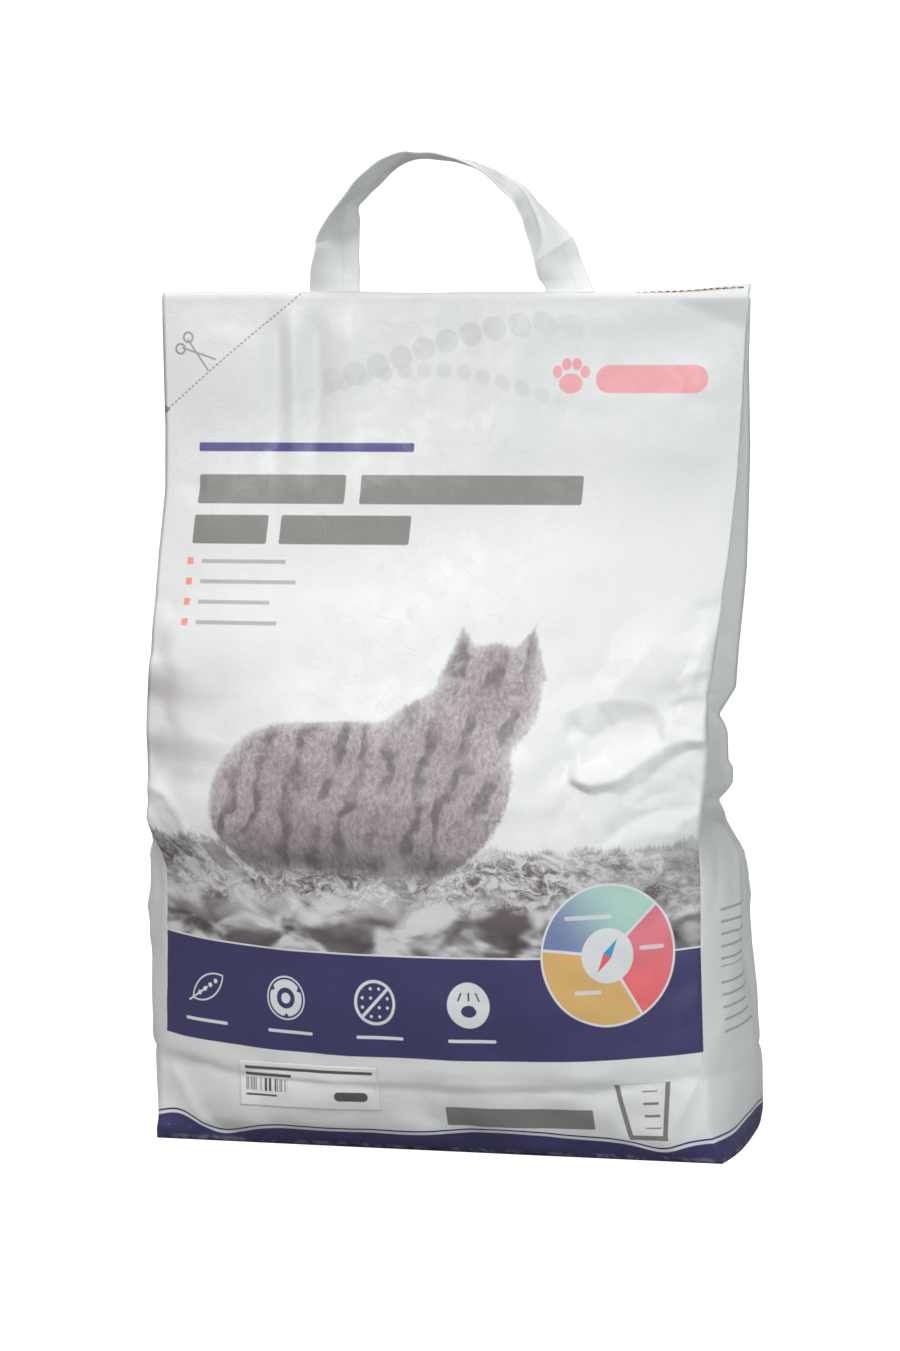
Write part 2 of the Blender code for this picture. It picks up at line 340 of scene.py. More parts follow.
LEFT_BULGE = (
    (0, 1.0), (14, 8.0), (23, 11.5), (32, 14.0), (41, 15.0), (58, 15.5), (76, 15.8), (94, 17.0), (112, 17.5),
    (121, 17.0), (129, 12.5), (138, 5.0), (144, -2.0), (150, -9.0),
)


# Folds of the front: (depth, width on the left, width on the right, points). The depth and the points are in
# mm and the widths in metres. A positive depth is a ridge and a negative one is a valley.
FRONT_FOLDS = (
    # a small V in the dent over the big fold, and creases beside it
    (-1.7, 0.0050, 0.0012, ((70.3, 184.7), (79.5, 179.5), (89.5, 185.3))),
    (-1.0, 0.008, 0.003, ((79.5, 179.5), (71, 172), (65, 163))),
    (0.9, 0.002, 0.003, ((84, 170), (93, 165.5), (98, 168))),
    # the ridge that runs up to the corner crease, and the facets beside it
    (1.5, 0.0022, 0.009, ((107, 181), (113, 184), (117, 190), (121, 200), (124, 212), (126.5, 224))),
    (-0.9, 0.005, 0.003, ((107, 183), (110.5, 192), (116, 204), (120, 216))),
    (-1.7, 0.0015, 0.005, ((111.5, 190), (118, 193.5), (124, 194), (131, 192))),
    (-1.0, 0.002, 0.004, ((106, 182), (114, 185.5), (122, 184), (131, 180.5))),
    (0.7, 0.003, 0.005, ((113, 200), (120, 206), (131, 207))),
    (-1.0, 0.0016, 0.004, ((118, 231), (124, 233.4), (131, 233.6))),
    (-0.6, 0.004, 0.003, ((112, 219), (117, 224), (124, 227))),
    # where the filling begins below: a valley and the shoulder under it
    (
        -3.0, 0.010, 0.0050,
        ((88, 138), (95, 143.4), (99.4, 146.5), (106, 149), (114.2, 150.5), (123, 150.6), (131, 149.4)),
    ),
    (0.9, 0.003, 0.010, ((86, 134), (98, 139.5), (108, 142.5), (120, 141), (131, 139))),
    (-0.8, 0.003, 0.005, ((104, 131), (114, 133.5), (131, 133))),
    (-0.8, 0.002, 0.004, ((100, 152.5), (108, 157), (117, 158.5))),
    (0.7, 0.003, 0.004, ((101, 165), (109, 163), (116, 164))),
    # left edge: short creases, a dimple, and the facet where the filling begins
    (-1.0, 0.004, 0.006, ((-131, 284), (-121, 283.5), (-111, 281))),
    (-0.8, 0.004, 0.005, ((-131, 235), (-124, 233), (-118, 227))),
    (2.0, 0.009, 0.0025, ((-131, 154), (-121, 151), (-112, 143), (-107, 131))),
    (-1.2, 0.003, 0.007, ((-131, 150), (-122, 139), (-117, 126))),
    (-0.6, 0.004, 0.004, ((-108, 140), (-98, 134), (-90, 134))),
    (-0.5, 0.008, 0.006, ((-120, 176), (-104, 180), (-86, 176))),
    # faint creases below the corner
    (-0.8, 0.003, 0.005, ((103, 320), (114, 318), (131, 321))),
    (-0.5, 0.004, 0.006, ((48, 316), (66, 313.5), (82, 314))),
    (0.5, 0.006, 0.008, ((92, 300), (112, 296), (131, 300))),
    # the crease of the block bottom, and corner puckers beside it
    (
        -1.7, 0.0016, 0.0050,
        ((-131, 38.5), (-110, 37.5), (-96, 34.5), (-40, 34.0), (20, 33.6), (92, 34.8), (131, 38.5)),
    ),
    (1.2, 0.004, 0.006, ((-128, 37), (-117, 22), (-104, 6))),
    (-1.0, 0.006, 0.004, ((-108, 18), (-99, 6), (-86, 4))),
    (1.3, 0.004, 0.006, ((128, 37), (118, 22), (106, 6))),
    (-0.8, 0.004, 0.004, ((112, 34), (108, 22), (110, 10))),
    (0.6, 0.005, 0.004, ((-60, 12), (-10, 9), (40, 14), (88, 9))),
)
# Soft vertical flutes under the hem: (depth in mm, place, width)
FLUTES = (
    (-1.3, -0.078, 0.0045),
    (1.2, -0.070, 0.0040),
    (-1.5, -0.060, 0.0045),
    (1.0, -0.044, 0.0080),
    (-0.9, 0.006, 0.0090),
    (0.8, 0.030, 0.0080),
)
# The big fold on the right, between two lines in mm, and the shallow dent over it
BIG_FOLD_UPPER = (
    (69, 165), (74, 163.6), (80.5, 162.4), (90, 163.4), (94.4, 164.8), (98, 167.4), (102, 170.6),
    (107, 173.8), (112.6, 176.8), (119, 178.4), (126, 178.2), (131, 177.6),
)
BIG_FOLD_LOWER = (
    (69, 164.6), (76, 161), (80.5, 158.8), (90, 159.3), (94.4, 156.7), (102, 161.1), (107, 165.6),
    (112.6, 169.8), (118, 173), (123.2, 175.3), (131, 176),
)
DENT_RIM = ((64, 186), (69.9, 190.4), (77, 193.8), (90, 194.8), (103.2, 193.8), (109.6, 189.6), (114, 184))
DENT_FLOOR = ((64, 177), (70.3, 184.7), (79.5, 179.5), (89.5, 185.3), (97, 186), (105, 183.6), (114, 177))


def gusset_reach(z, right):
    """How far the gusset's centre fold stands out past its creases: bulged low down, folded in higher up."""
    depth = profile(HALF_DEPTH, z)
    tight = -np.sqrt(np.maximum(GUSSET_HALF**2 - depth**2, 0))
    settled = 0.35 + 0.65 * smooth(z, 0.144, 0.196)
    low = profile(RIGHT_BULGE if right else LEFT_BULGE, z, 0.004)
    reach = low + (tight * settled - low) * smooth(z, 0.138, 0.162)
    pinch = (3 * bump_at(z, 0.1425, 0.004) + 6 * bump_at(z, 0.181, 0.005)) * MM if right else 0.0
    return (reach - pinch) * (1 - smooth(z, 0.330, 0.359))


def band(x, z, upper, lower, high, deep=0.0, over=0.014, under=0.009):
    """A facet that faces down or up between two lines, each a height over x.

    The surface stands out by high (mm) at the upper line and by -deep at the lower one, is straight between
    them, and falls off as exp(-distance / width) above and below. It fades in over its first and last 6 mm.
    """
    up, low = np.array(upper, float) * MM, np.array(lower, float) * MM
    top, bottom = np.interp(x, up[:, 0], up[:, 1]), np.interp(x, low[:, 0], low[:, 1])
    share = np.clip((z - bottom) / np.maximum(top - bottom, 0.0008), 0, 1)
    middle = high * share - deep * (1 - share)
    above = high * np.exp(-np.maximum(z - top, 0) / over)
    below = -deep * np.exp(-np.maximum(bottom - z, 0) / under)
    value = np.where(z > top, above, np.where(z < bottom, below, middle))
    first, last = up[0, 0], up[-1, 0]
    ends = smooth(x, first, first + 0.007) * (1 if last > 0.1295 else 1 - smooth(x, last - 0.007, last))
    if first < -0.1295:
        ends = 1 - smooth(x, last - 0.007, last)
    return value * ends * MM


def front_features(x, z):
    """Crumples of the front, standing out of it, at paper coordinates x and z in metres."""
    d = band(x, z, BIG_FOLD_UPPER, BIG_FOLD_LOWER, 3.2, 0.9, 0.015, 0.010)
    d += band(x, z, DENT_RIM, DENT_FLOOR, 0.5, 2.2, 0.006, 0.016)
    d -= 1.2 * MM * bump_at(x, -0.127, 0.007) * bump_at(z, 0.213, 0.007)
    for depth, left, right, points in FRONT_FOLDS:
        d += fold(x, z, points, depth, left, right)
    for depth, place, width in FLUTES:
        d += depth * MM * bump_at(x, place, width) * smooth(z, 0.275, 0.335)
    # gentle unevenness of the litter, flattest near the hem
    full = 1 - smooth(z, 0.15, 0.24)
    d += 0.75 * MM * noise(x, z, 0.050, 3) * full
    d += 0.22 * MM * noise(x, z, 0.016, 5) * full
    d += 0.80 * MM * noise(x, z, 0.090, 9) * smooth(z, 0.18, 0.25)
    # crumpled paper on the right, finer towards the edge, then down both edges, then below the block's crease
    crumpled = smooth(x, 0.035, 0.085) * bump_at(z, 0.175, 0.042)
    d += 2.60 * MM * facets(x, z, 0.020, 11, (0.02, 0.10), (0.14, 0.26)) * crumpled
    fine = smooth(x, 0.060, 0.085) * bump_at(z, 0.172, 0.026)
    d += 0.75 * MM * facets(x, z, 0.009, 13, (0.05, 0.13), (0.14, 0.22)) * fine
    edge = smooth(np.abs(x), 0.095, 0.125) * bump_at(z, 0.165, 0.06)
    d += 1.50 * MM * facets(x, z, 0.013, 17, (-0.14, 0.05), (0.14, 0.30)) * edge
    low = (1 - smooth(z, 0.034, 0.040)) * smooth(z, 0.004, 0.012)
    d += 1.10 * MM * facets(x, z, 0.020, 19, (-0.14, 0.00), (0.14, 0.05)) * low
    return d


def back_features(x, z):
    """Crumples of the back: a block-bottom crease, two long folds and soft unevenness."""
    d = -fold(x, z, ((-131, 37), (0, 34), (131, 37)), 0.7, 0.0025, 0.0045)
    d += step(x, z, ((-120, 168), (-96, 158), (-70, 160), (-52, 152)), 1.7, 0.012, 0.0025)
    d -= fold(x, z, ((30, 176), (64, 168), (92, 174), (126, 166)), 1.1, 0.007, 0.009)
    d -= fold(x, z, ((-40, 186), (-8, 181), (26, 187)), 0.6, 0.008, 0.008)
    full = 1 - smooth(z, 0.15, 0.24)
    d += 0.6 * MM * noise(x, z, 0.055, 21) * full + 0.18 * MM * noise(x, z, 0.017, 22) * full
    crumpled = bump_at(z, 0.172, 0.045) * smooth(np.abs(x), 0.02, 0.10)
    d += 0.40 * MM * facets(x, z, 0.019, 23, (-0.14, 0.06), (0.14, 0.28)) * crumpled
    d += 0.35 * MM * noise(x, z, 0.085, 24) * smooth(z, 0.18, 0.25)
    return d


# Fans of a gusset that spread down from its pinched waist, in the form of FRONT_FOLDS
GUSSET_FANS = (
    (1.8, 0.004, 0.009, ((2, 140), (-14, 118), (-30, 92))),
    (-1.4, 0.005, 0.007, ((6, 140), (4, 112), (-2, 88))),
    (1.6, 0.006, 0.007, ((10, 140), (22, 116), (34, 96))),
    (-1.6, 0.005, 0.007, ((-20, 140), (-38, 120), (-50, 104))),
    (1.4, 0.008, 0.010, ((-30, 92), (-38, 66), (-50, 44))),
    (-1.1, 0.010, 0.008, ((-2, 88), (10, 60), (6, 38))),
)
# Flat folds across a gusset's upper plies: (height, depth in mm)
GUSSET_PLEATS = ((0.154, 1.7), (0.168, -1.1), (0.186, 1.8), (0.200, -1.2), (0.2125, 1.6), (0.252, 0.7))


def side_features(q, z, right):
    """Crumples of a gusset. q runs from -1 at one crease through its centre fold at 0 to 1 at the other."""
    y = q * GUSSET_HALF
    low = 1 - smooth(z, 0.120, 0.150)
    d = -fold(y, z, ((-54, 38), (0, 35), (54, 38)), 1.4, 0.0018, 0.0060)
    for depth, left, right_width, points in GUSSET_FANS:
        d += fold(y, z, points, depth, left, right_width) * low
    d += 0.45 * MM * noise(y, z, 0.040, 31 + right) * low
    d += 0.90 * MM * facets(y, z, 0.016, 33 + right, (-0.06, 0.02), (0.06, 0.26)) * bump_at(z, 0.14, 0.06)
    for height, depth in GUSSET_PLEATS:
        d -= depth * MM * np.exp(-np.abs(z - height - 0.10 * np.abs(y)) / 0.0032) * (1 - 0.3 * np.abs(q))
    ends = (1 - q**8) * smooth(z, 0.0, 0.006)
    return d * ends * (1 - smooth(z, 0.245, 0.270))


def corner_facet(x, z):
    """How far the top right corner leans forward, beyond a slanting crease from the hem down to the edge."""
    over = (x - 0.091) * 0.40 + np.minimum(z, HEM_STARTS) - 0.3645
    return -0.36 * np.maximum(over, 0)


def hem_rise(x):
    """How much higher the hem stands towards its left end, where the bag isn't pulled down."""
    return 2.3 * MM * (1 - smooth(x, -0.150, 0.125))


def paper_height(z, crown, sag):
    """The paper's own height at a height z: the bulge takes up to the sag of it, most in the middle."""
    return z + sag * crown * smooth(z, 0, 0.038) * (1 - smooth(z, 0.13, 0.23))


def bag_points(shape):
    """The bag's rings from the base to the hem's bend: x, y and z, one row to a ring.

    Each ring runs anticlockwise from above: left side, front, right side, back. The front and the back are
    x across the chord and y = depth + bulge (1 - |t|^SWELL); each side is straight plies with a centre fold
    where it folds in and a round arch where it bulges.
    """
    m, s = shape.front_steps, shape.side_steps * 2
    z = row_heights(shape.rows)
    t = front_shares(m)[None, :]
    q = np.linspace(-1, 1, s + 1)[None, :]
    zc = z[:, None]
    fl, fr = profile(FRONT_LEFT, zc, 0.003), profile(FRONT_RIGHT, zc, 0.003)
    bl, br = profile(BACK_LEFT, zc, 0.006), profile(BACK_RIGHT, zc, 0.002)
    depth = profile(HALF_DEPTH, zc)
    bulge = profile(BULGE, zc)
    crown = 1 - np.abs(t) ** SWELL
    fade = smooth(zc, 0.0, 0.005)
    lower = 1 - smooth(zc, 0.345, 0.3615)

    front_x = (fl + fr) / 2 + (fr - fl) / 2 * t
    calm = 1 - smooth(zc, 0.235, 0.265) * (1 - smooth(1 - np.abs(t), 0.0, 0.14))
    strength = shape.crease * fade * lower
    stands = calm * front_features(HALF_WEB * t + 0 * zc, paper_height(zc, crown, shape.sag)) * strength
    front_y = -(depth + bulge * crown) - stands + corner_facet(front_x, zc)
    other = -t[:, ::-1]
    back_x = (bl + br) / 2 - (br - bl) / 2 * other
    stands = calm[:, ::-1] * back_features(HALF_WEB * other + 0 * zc, zc + 0 * t) * strength
    back_y = depth + bulge * crown[:, ::-1] + stands + corner_facet(back_x, zc)
    round_low = smooth(zc, 0.146, 0.136)

    def side(x_front, x_back, sign):
        reach = gusset_reach(zc, sign > 0)
        straight = 1 - np.abs(q)
        arc = 1 - np.abs(q) ** 2.8
        rise = arc * round_low + straight * (1 - round_low)
        chord = x_front + (x_back - x_front) * (q + 1) / 2
        stands = side_features(q + 0 * zc, zc + 0 * q, int(sign > 0)) * shape.crease
        across = chord + sign * (reach * rise + stands * (0.4 + 0.6 * round_low))
        inward = np.tanh(6 * q) * stands * (1 - round_low)
        return across, depth * q - inward + corner_facet(across, zc)

    right_x, right_y = side(fr, br, 1.0)
    left_x, left_y = side(fl, bl, -1.0)
    ring_x = np.concatenate([left_x[:, ::-1][:, :-1], front_x[:, :-1], right_x[:, :-1], back_x[:, :-1]], 1)
    ring_y = np.concatenate([left_y[:, ::-1][:, :-1], front_y[:, :-1], right_y[:, :-1], back_y[:, :-1]], 1)
    ring_z = zc + hem_rise(ring_x) * smooth(zc, 0.26, HEM_STARTS)
    return ring_x, ring_y, ring_z


def spread(fine, density, count):
    """Count places along the values of fine, closer together where the density is higher."""
    walked = np.concatenate([[0], np.cumsum((density[1:] + density[:-1]) / 2)])
    return np.interp(np.linspace(0, 1, count), walked / walked[-1], fine)


def front_shares(steps):
    """Places from -1 to 1 across the front, closer together over the crumpled right-hand part."""
    fine = np.linspace(-1, 1, 801)
    return spread(fine, 1 + 0.65 * smooth(fine, 0.38, 0.50), steps + 1)


def row_heights(rows):
    """Heights from the base to the hem's bend, closer together in the crumples and at both ends."""
    fine = np.linspace(0, HEM_STARTS, 1201)
    density = 1 + 1.1 * smooth(fine, 0.122, 0.136) * (1 - smooth(fine, 0.215, 0.238))
    density += 0.6 * (1 - smooth(fine, 0.040, 0.050)) + 0.5 * smooth(fine, 0.345, 0.355)
    return spread(fine, density, rows)


def front_depth(shape, x, z):
    """The depth y of the front at places x and z, read off the bag's own grid by interpolating both ways."""
    ring_x, ring_y, ring_z = bag_points(shape)
    s = shape.side_steps * 2
    columns = slice(s, s + shape.front_steps + 1)
    grid_x, grid_y, rows = ring_x[:, columns], ring_y[:, columns], ring_z[:, s]
    at_row = np.interp(z, rows, np.arange(len(rows)))
    low = np.clip(at_row.astype(int), 0, len(rows) - 2)
    part = at_row - low
    left = grid_x[low, 0] * (1 - part) + grid_x[low + 1, 0] * part
    right = grid_x[low, -1] * (1 - part) + grid_x[low + 1, -1] * part
    steps = np.arange(shape.front_steps + 1)
    at_column = np.interp(2 * (x - left) / (right - left) - 1, front_shares(shape.front_steps), steps)
    first = np.clip(at_column.astype(int), 0, shape.front_steps - 1)
    across = at_column - first
    lower = grid_y[low, first] * (1 - across) + grid_y[low, first + 1] * across
    upper = grid_y[low + 1, first] * (1 - across) + grid_y[low + 1, first + 1] * across
    return lower * (1 - part) + upper * part


def hem_turn(x):
    """How far the hem is bent back: past level over most of its length, and lifted at its right end."""
    lifted = math.radians(48) * smooth(x, 0.060, 0.088) + math.radians(34) * smooth(x, 0.085, HALF_WEB)
    return math.radians(138) - lifted


def hem_place(x, along, out):
    """A point by the hem, which bends back round an arc and then runs straight, out being off its middle."""
    arc = hem_turn(x) * HEM_BEND
    angle = np.minimum(along, arc) / HEM_BEND
    past = np.maximum(along - arc, 0)
    y = HEM_BEND * (1 - np.cos(angle)) + past * np.sin(angle) - out * np.cos(angle)
    z = HEM_STARTS + HEM_BEND * np.sin(angle) + past * np.cos(angle) + out * np.sin(angle)
    return y + corner_facet(x, HEM_STARTS), z + hem_rise(x)


def ring_places(m, s):
    """How far round the paper each column of a ring lies from the front's middle line."""
    left = -HALF_WEB - GUSSET_HALF * (1 - np.linspace(-1, 1, s + 1)[:-1])
    front = HALF_WEB * front_shares(m)[:-1]
    right = HALF_WEB + GUSSET_HALF * (np.linspace(-1, 1, s + 1)[:-1] + 1)
    back = BACK_MIDDLE - HALF_WEB * front_shares(m)[::-1]
    return np.concatenate([left, front, right, back])


def base_lift(inner):
    """Hollows the base by up to 0.5 mm between its pasted flaps, so that the bag stands on its rim."""
    hollow = 0.35 * MM * (1 + noise(inner[..., 0], inner[..., 1], 0.05, 51) * 0.5)
    flaps = 0.25 * MM * (np.abs(inner[..., 1]) > 0.022)
    inside = smooth(0.110 - np.abs(inner[..., 0]), 0, 0.02)
    inside *= smooth(0.046 - np.abs(inner[..., 1]), 0, 0.01)
    return np.stack([0 * hollow, 0 * hollow, np.maximum(hollow - flaps, 0) * inside], -1)


def mouth_lift(inner):
    """Draws the plies' edges in and out by a little across the hem's thickness."""
    rank = np.linspace(-1, 1, inner.shape[0])[:, None]
    draw = 0.12 * MM * np.cos(rank * 6 * math.pi) * np.ones(inner.shape[1])
    return np.stack([0 * draw, draw, 0 * draw], -1)


def make_bag_mesh(shape):
    """The closed bag as points, quads and paper coordinates: rings, then hem, base patch and mouth patch."""
    m, s = shape.front_steps, shape.side_steps * 2
    x, y, z = bag_points(shape)
    total = x.shape[1]
    half_l, half_r = x[-1, s], x[-1, s + m]
    shares = front_shares(m)
    edge = (half_l + half_r) / 2 + (half_r - half_l) / 2 * shares
    across = np.concatenate([np.full(s, half_l), edge[:-1], np.full(s, half_r), edge[:0:-1]])
    ply = np.linspace(1, -1, s + 1)[:-1]
    outs = np.concatenate([-ply, np.full(m, 1.0), ply, np.full(m, -1.0)]) * HEM_HALF
    alongs = np.linspace(0, HEM_LENGTH, 13)[1:]
    wave = 0.22 * MM * noise(across, outs, 0.060, 41)
    hem = [hem_place(across, a, outs + wave * smooth(a, 0.001, 0.004)) for a in alongs]
    x = np.concatenate([x] + [across[None]] * len(alongs))
    y = np.concatenate([y] + [h[0][None] for h in hem])
    z = np.concatenate([z] + [h[1][None] for h in hem])
    points = np.stack([x, y, z], -1)
    rows = len(x)
    u = np.tile(ring_places(m, s), (rows, 1))
    arch = 1 - np.abs(shares) ** SWELL
    crown = np.concatenate([np.zeros(s), arch[:-1], np.zeros(s), arch[::-1]])
    height = np.concatenate([row_heights(shape.rows), HEM_STARTS + alongs])[:, None]
    v = paper_height(height, crown, shape.sag)
    quads = [grid_quads(rows, total, wrap=True)]
    uvs = [grid_uv(u, v)]
    flat = [points.reshape(-1, 3)]
    used = rows * total

    def patch(ring_row, lift):
        """A grid across a ring, whose border is the ring's own points."""
        nonlocal used
        ring = points[ring_row]
        start = ring_row * total
        front = start + s + np.arange(m + 1)
        right = start + (s + m + np.arange(s + 1)) % total
        back = start + (s + m + s + np.arange(m + 1)) % total
        left = start + (s - np.arange(s + 1)) % total
        index = np.empty((s + 1, m + 1), np.int64)
        index[0], index[-1] = front, back[::-1]
        index[:, 0], index[:, -1] = left, right
        across_share = np.linspace(0, 1, s + 1)[1:-1, None, None]
        a, b = ring[front - start], ring[back[::-1] - start]
        inner = a[None] * (1 - across_share) + b[None] * across_share
        inner = inner[:, 1:-1] + lift(inner[:, 1:-1])
        index[1:-1, 1:-1] = used + np.arange((s - 1) * (m - 1)).reshape(s - 1, m - 1)
        used += (s - 1) * (m - 1)
        flat.append(inner.reshape(-1, 3))
        return index

    base = patch(0, base_lift)
    q_base = np.stack([base[:-1, :-1], base[1:, :-1], base[1:, 1:], base[:-1, 1:]], -1).reshape(-1, 4)
    mouth = patch(rows - 1, mouth_lift)
    q_mouth = np.stack([mouth[:-1, :-1], mouth[:-1, 1:], mouth[1:, 1:], mouth[1:, :-1]], -1).reshape(-1, 4)
    all_points = np.concatenate(flat)
    for block, below in ((q_base, True), (q_mouth, False)):
        corner = all_points[block]
        level = -corner[..., 1] - BASE_PRINT if below else np.full(corner.shape[:2], HEM_STARTS + alongs[-1])
        uvs.append(np.stack([corner[..., 0], level], -1))
        quads.append(block)
    return all_points, np.concatenate(quads), np.concatenate(uvs)


# ---------------------------------------------------------------- shader maths


class Socket:
    """A value in a node tree. Operators on it add Math nodes."""

    def __init__(self, tree, link):
        self.tree, self.link = tree, link

    def math(self, operation, *others, clamp=False):
        return self.tree.node("ShaderNodeMath", {"operation": operation, "use_clamp": clamp}, self, *others)

    def __add__(self, other):
        return self.math("ADD", other)

    def __sub__(self, other):
        return self.math("SUBTRACT", other)

    def __mul__(self, other):
        return self.math("MULTIPLY", other)

    def __truediv__(self, other):
        return self.math("DIVIDE", other)

    def __rsub__(self, other):
        return self.tree.node("ShaderNodeMath", {"operation": "SUBTRACT"}, other, self)

    def __neg__(self):
        return self.math("MULTIPLY", -1.0)

    def __abs__(self):
        return self.math("ABSOLUTE")

    def __mod__(self, other):
        return self.math("FLOORED_MODULO", other)

    __radd__ = __add__
    __rmul__ = __mul__

    def high(self, other):
        return self.math("MAXIMUM", other)

    def low(self, other):
        return self.math("MINIMUM", other)

    def clip(self):
        return self.math("ADD", 0.0, clamp=True)

    def edge(self, soft):
        """1 where a signed distance is negative and 0 outside, over a soft edge of this width."""
        return self.tree.ranged(self, soft / 2, -soft / 2)


class Paint:
    """A material's node tree, with one method for any node and a few drawing helpers."""

    def __init__(self, name):
        self.material = bpy.data.materials.new(name)
        self.material.use_nodes = True
        self.nodes, self.links = self.material.node_tree.nodes, self.material.node_tree.links
        self.shader = self.nodes["Principled BSDF"]

    def node(self, kind, settings, *values, out=0, **named):
        """Adds a node: its settings first, then its sockets' values or links, by place or by name."""
        made = self.nodes.new(kind)
        for key, value in settings.items():
            setattr(made, key, value)
        for key, value in [*enumerate(values), *named.items()]:
            socket = made.inputs[key.replace("_", " ") if isinstance(key, str) else key]
            if isinstance(value, Socket):
                self.links.new(value.link, socket)
            elif value is not None:
                socket.default_value = value
        return Socket(self, made.outputs[out])

    def ranged(self, value, low, high, start=0.0, end=1.0, kind="SMOOTHSTEP"):
        """Maps a value from low..high to start..end, smoothly."""
        return self.node("ShaderNodeMapRange", {"interpolation_type": kind}, value, low, high, start, end)

    def mix(self, share, first, second, blend="MIX"):
        """Mixes two colours."""
        colours = [(*c, 1.0) if isinstance(c, tuple) else c for c in (first, second)]
        made = self.nodes.new("ShaderNodeMix")
        made.data_type, made.blend_type, made.clamp_factor = "RGBA", blend, True
        for place, value in ((0, share), (6, colours[0]), (7, colours[1])):
            if isinstance(value, Socket):
                self.links.new(value.link, made.inputs[place])
            else:
                made.inputs[place].default_value = value
        return Socket(self, made.outputs[2])

    def vector(self, x, y, z=0.0):
        return self.node("ShaderNodeCombineXYZ", {}, x, y, z)

    def parts(self, vector):
        made = self.nodes.new("ShaderNodeSeparateXYZ")
        self.links.new(vector.link, made.inputs[0])
        return tuple(Socket(self, made.outputs[i]) for i in range(3))

    def noise(self, place, scale, detail=3.0, rough=0.5, distort=0.0, out=0):
        values = {"Scale": scale, "Detail": detail, "Roughness": rough, "Distortion": distort}
        return self.node("ShaderNodeTexNoise", {}, Vector=place, out=out, **values)

    def set(self, name, value):
        socket = self.shader.inputs[name]
        if isinstance(value, Socket):
            self.links.new(value.link, socket)
        else:
            socket.default_value = (*value, 1.0) if isinstance(value, tuple) and len(value) == 3 else value

    def bump(self, height, distance, strength=1.0, after=None):
        values = {"Height": height, "Distance": distance, "Strength": strength}
        if after is not None:
            values["Normal"] = after
        return self.node("ShaderNodeBump", {}, **values)

    def bell(self, value, middle, width):
        """exp(-((value - middle) / width)^2)."""
        off = (value - middle) / width
        return (off * off * -1.0).math("EXPONENT")

    # signed distances in metres: negative inside
    def box(self, x, y, cx, cy, hx, hy, radius=0.0):
        dx, dy = abs(x - cx) - (hx - radius), abs(y - cy) - (hy - radius)
        inside = dx.high(dy).low(0.0)
        if not radius:
            return dx.high(dy)
        dx, dy = dx.high(0.0), dy.high(0.0)
        return (dx * dx + dy * dy).math("SQRT") + inside - radius

    def disc(self, x, y, cx, cy, radius, stretch=1.0):
        dx, dy = x - cx, (y - cy) * (1.0 / stretch)
        return (dx * dx + dy * dy).math("SQRT") - radius

    def bars(self, x, y, left, right, top, pitch, count, thick, ragged=0.0):
        """Rows of thin bars, each with its own right end where ragged is set."""
        row = ((top - y) / pitch).math("FLOOR")
        within = abs((top - y) % pitch - pitch / 2) - thick / 2
        ends = x - right
        if ragged:
            loose = self.node("ShaderNodeTexWhiteNoise", {"noise_dimensions": "1D"}, W=row + 3.7)
            ends = x - (right - loose * ragged)
        sides = ends.high(left - x)
        tall = abs(y - (top - pitch * count / 2)) - pitch * count / 2
        return within.high(sides).high(tall)


def paper_grain(p, place, base, strength=1.0, fibres=0.05):
    """Fibre bump, tiny calender creases and soft unevenness for coated paper. Returns the normal."""
    fine = p.noise(place, 2600.0, 2.0, 0.6)
    mid = p.noise(place, 420.0, 3.0, 0.55)
    wide = p.noise(place, 60.0, 3.0, 0.5)
    veins = abs(p.noise(place, 90.0, 4.0, 0.62, 0.6) - 0.5)
    veins = p.ranged(veins, 0.0, 0.02, 0.0, 1.0)
    height = fine * fibres + mid * 0.18 + wide * 0.9 + veins * 0.20 * base
    return p.bump(height, 0.00045, 0.55 * strength)


# ---------------------------------------------------------------- the bag's print


